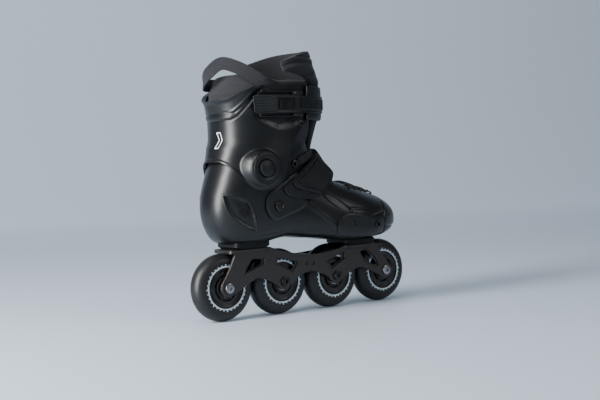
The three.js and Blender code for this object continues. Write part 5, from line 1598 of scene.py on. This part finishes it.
def build_camera():
    """The camera: aimed at a point by turn, height and distance, with a small roll."""
    turn, height, roll = (math.radians(v) for v in (-37.365, 2.025, -2.27))
    aim = Vector((0.0001, 0, 0.1364))
    back = Vector((math.sin(turn) * math.cos(height), -math.cos(turn) * math.cos(height), math.sin(height)))
    right = (-back).cross(Vector((0, 0, 1))).normalized()
    up = right.cross(-back)
    right, up = right * math.cos(roll) + up * math.sin(roll), up * math.cos(roll) - right * math.sin(roll)
    camera = bpy.data.objects.new("camera", bpy.data.cameras.new("camera"))
    bpy.context.scene.collection.objects.link(camera)
    place = Matrix((right, up, back)).transposed().to_4x4()
    place.translation = aim + back * 1.4055
    camera.matrix_world = place
    camera.data.lens = 68.25
    camera.data.sensor_width = 36
    camera.data.clip_end = 50
    bpy.context.scene.camera = camera


# ------------------------------------------------------------------ add-on
def colour_property(name, description, default):
    """A colour of the panel."""
    return bpy.props.FloatVectorProperty(
        name=name, description=description, default=default, subtype="COLOR", size=3, min=0, max=1,
    )


def size_property(name, description, default):
    """A length of the panel, from its default in millimetres."""
    return bpy.props.FloatProperty(
        name=name, description=description, default=default * MM, min=0, subtype="DISTANCE", unit="LENGTH",
    )


class SkateSizes(bpy.types.PropertyGroup):
    """Sizes a maker would change."""
    shell_wall: size_property("Shell wall", "Thickness of the hard shell", 4.0)
    cuff_wall: size_property("Cuff wall", "Thickness of the ankle cuff", 3.5)
    window_border: size_property("Window border", "Width of the step round the frame's windows", 3.0)
    loop_width: size_property("Loop width", "Width of the heel pull loop", 15.0)
    lace_thickness: size_property("Lace thickness", "Diameter of the lace", 3.2)
    print_inner: size_property("Print inner radius", "Inner radius of the wheels' printed ring", 24.2)
    print_outer: size_property("Print outer radius", "Outer radius of the wheels' printed ring", 25.9)


class SkateColours(bpy.types.PropertyGroup):
    """Colours a maker would change."""
    plastic: colour_property("Plastic", "Shell, cuff and buckle plastic", (0.0045, 0.0050, 0.0058))
    cloth: colour_property("Cloth", "Liner and tongue cloth", (0.009, 0.009, 0.012))
    metal: colour_property("Frame", "Anodised frame metal", (0.062, 0.056, 0.054))
    print_colour: colour_property("Print", "Printed bars on the wheels", (0.60, 0.70, 0.78))
    backdrop: colour_property("Backdrop", "Floor and wall behind the skate", (0.56, 0.655, 0.755))


def step(label, words, makers):
    """An operator class that runs one or more makers."""
    name = label.replace(" ", "_").lower()

    def execute(self, context):
        for maker in makers:
            maker()
        return {"FINISHED"}

    return type(
        f"SKATE_OT_{name}",
        (bpy.types.Operator,),
        {"bl_idname": f"skate.{name}", "bl_label": label, "__doc__": words, "execute": execute},
    )


OPERATORS = [
    step("Camera", "Sets up the camera", [build_camera]),
    step("Stage", "Makes the pale sweep and the lights", [build_stage]),
    step("Wheels", "Makes the wheels, their print, bearings and axles", [build_wheels]),
    step("Frame", "Makes the frame and its mounts", [build_frame]),
    step("Shell", "Makes the hard boot shell", [build_shell]),
    step("Cuff", "Makes the ankle cuff, its pivots and its mark", [build_cuff, build_mark]),
    step("Liner", "Makes the padded liner, insole and heel loop", [build_liner, build_foot_liner, build_loop]),
    step("Tongue", "Makes the padded tongue", [build_tongue]),
    step("Buckle", "Makes the top buckle, strap and shin band", [build_buckle]),
    step("Instep strap", "Makes the strap over the ankle", [build_instep_strap]),
    step("Trim", "Makes the wear plates, lace and rings", [build_trim, build_lace]),
]


class SKATE_PT_panel(bpy.types.Panel):
    """Lists the sizes, colours and steps of the skate."""
    bl_idname = "SKATE_PT_panel"
    bl_label = "Inline skate"
    bl_space_type = "VIEW_3D"
    bl_region_type = "UI"
    bl_category = "Skate"

    def draw(self, context):
        for settings, kind in ((context.scene.skate_sizes, SkateSizes), (context.scene.skate_colours, SkateColours)):
            for name in kind.__annotations__:
                self.layout.prop(settings, name)
        for operator in OPERATORS:
            self.layout.operator(operator.bl_idname)


CLASSES = [SkateSizes, SkateColours, *OPERATORS, SKATE_PT_panel]


def register():
    """Makes the classes and settings known to Blender."""
    for item in CLASSES:
        bpy.utils.register_class(item)
    bpy.types.Scene.skate_sizes = bpy.props.PointerProperty(type=SkateSizes)
    bpy.types.Scene.skate_colours = bpy.props.PointerProperty(type=SkateColours)


def unregister():
    """Takes them away again."""
    del bpy.types.Scene.skate_colours
    del bpy.types.Scene.skate_sizes
    for item in reversed(CLASSES):
        bpy.utils.unregister_class(item)


def main():
    """Builds the skate step by step and writes both bounding boxes."""
    register()
    for operator in OPERATORS:
        getattr(bpy.ops.skate, operator.bl_idname.split(".")[1])()


if __name__ == "__main__":
    main()
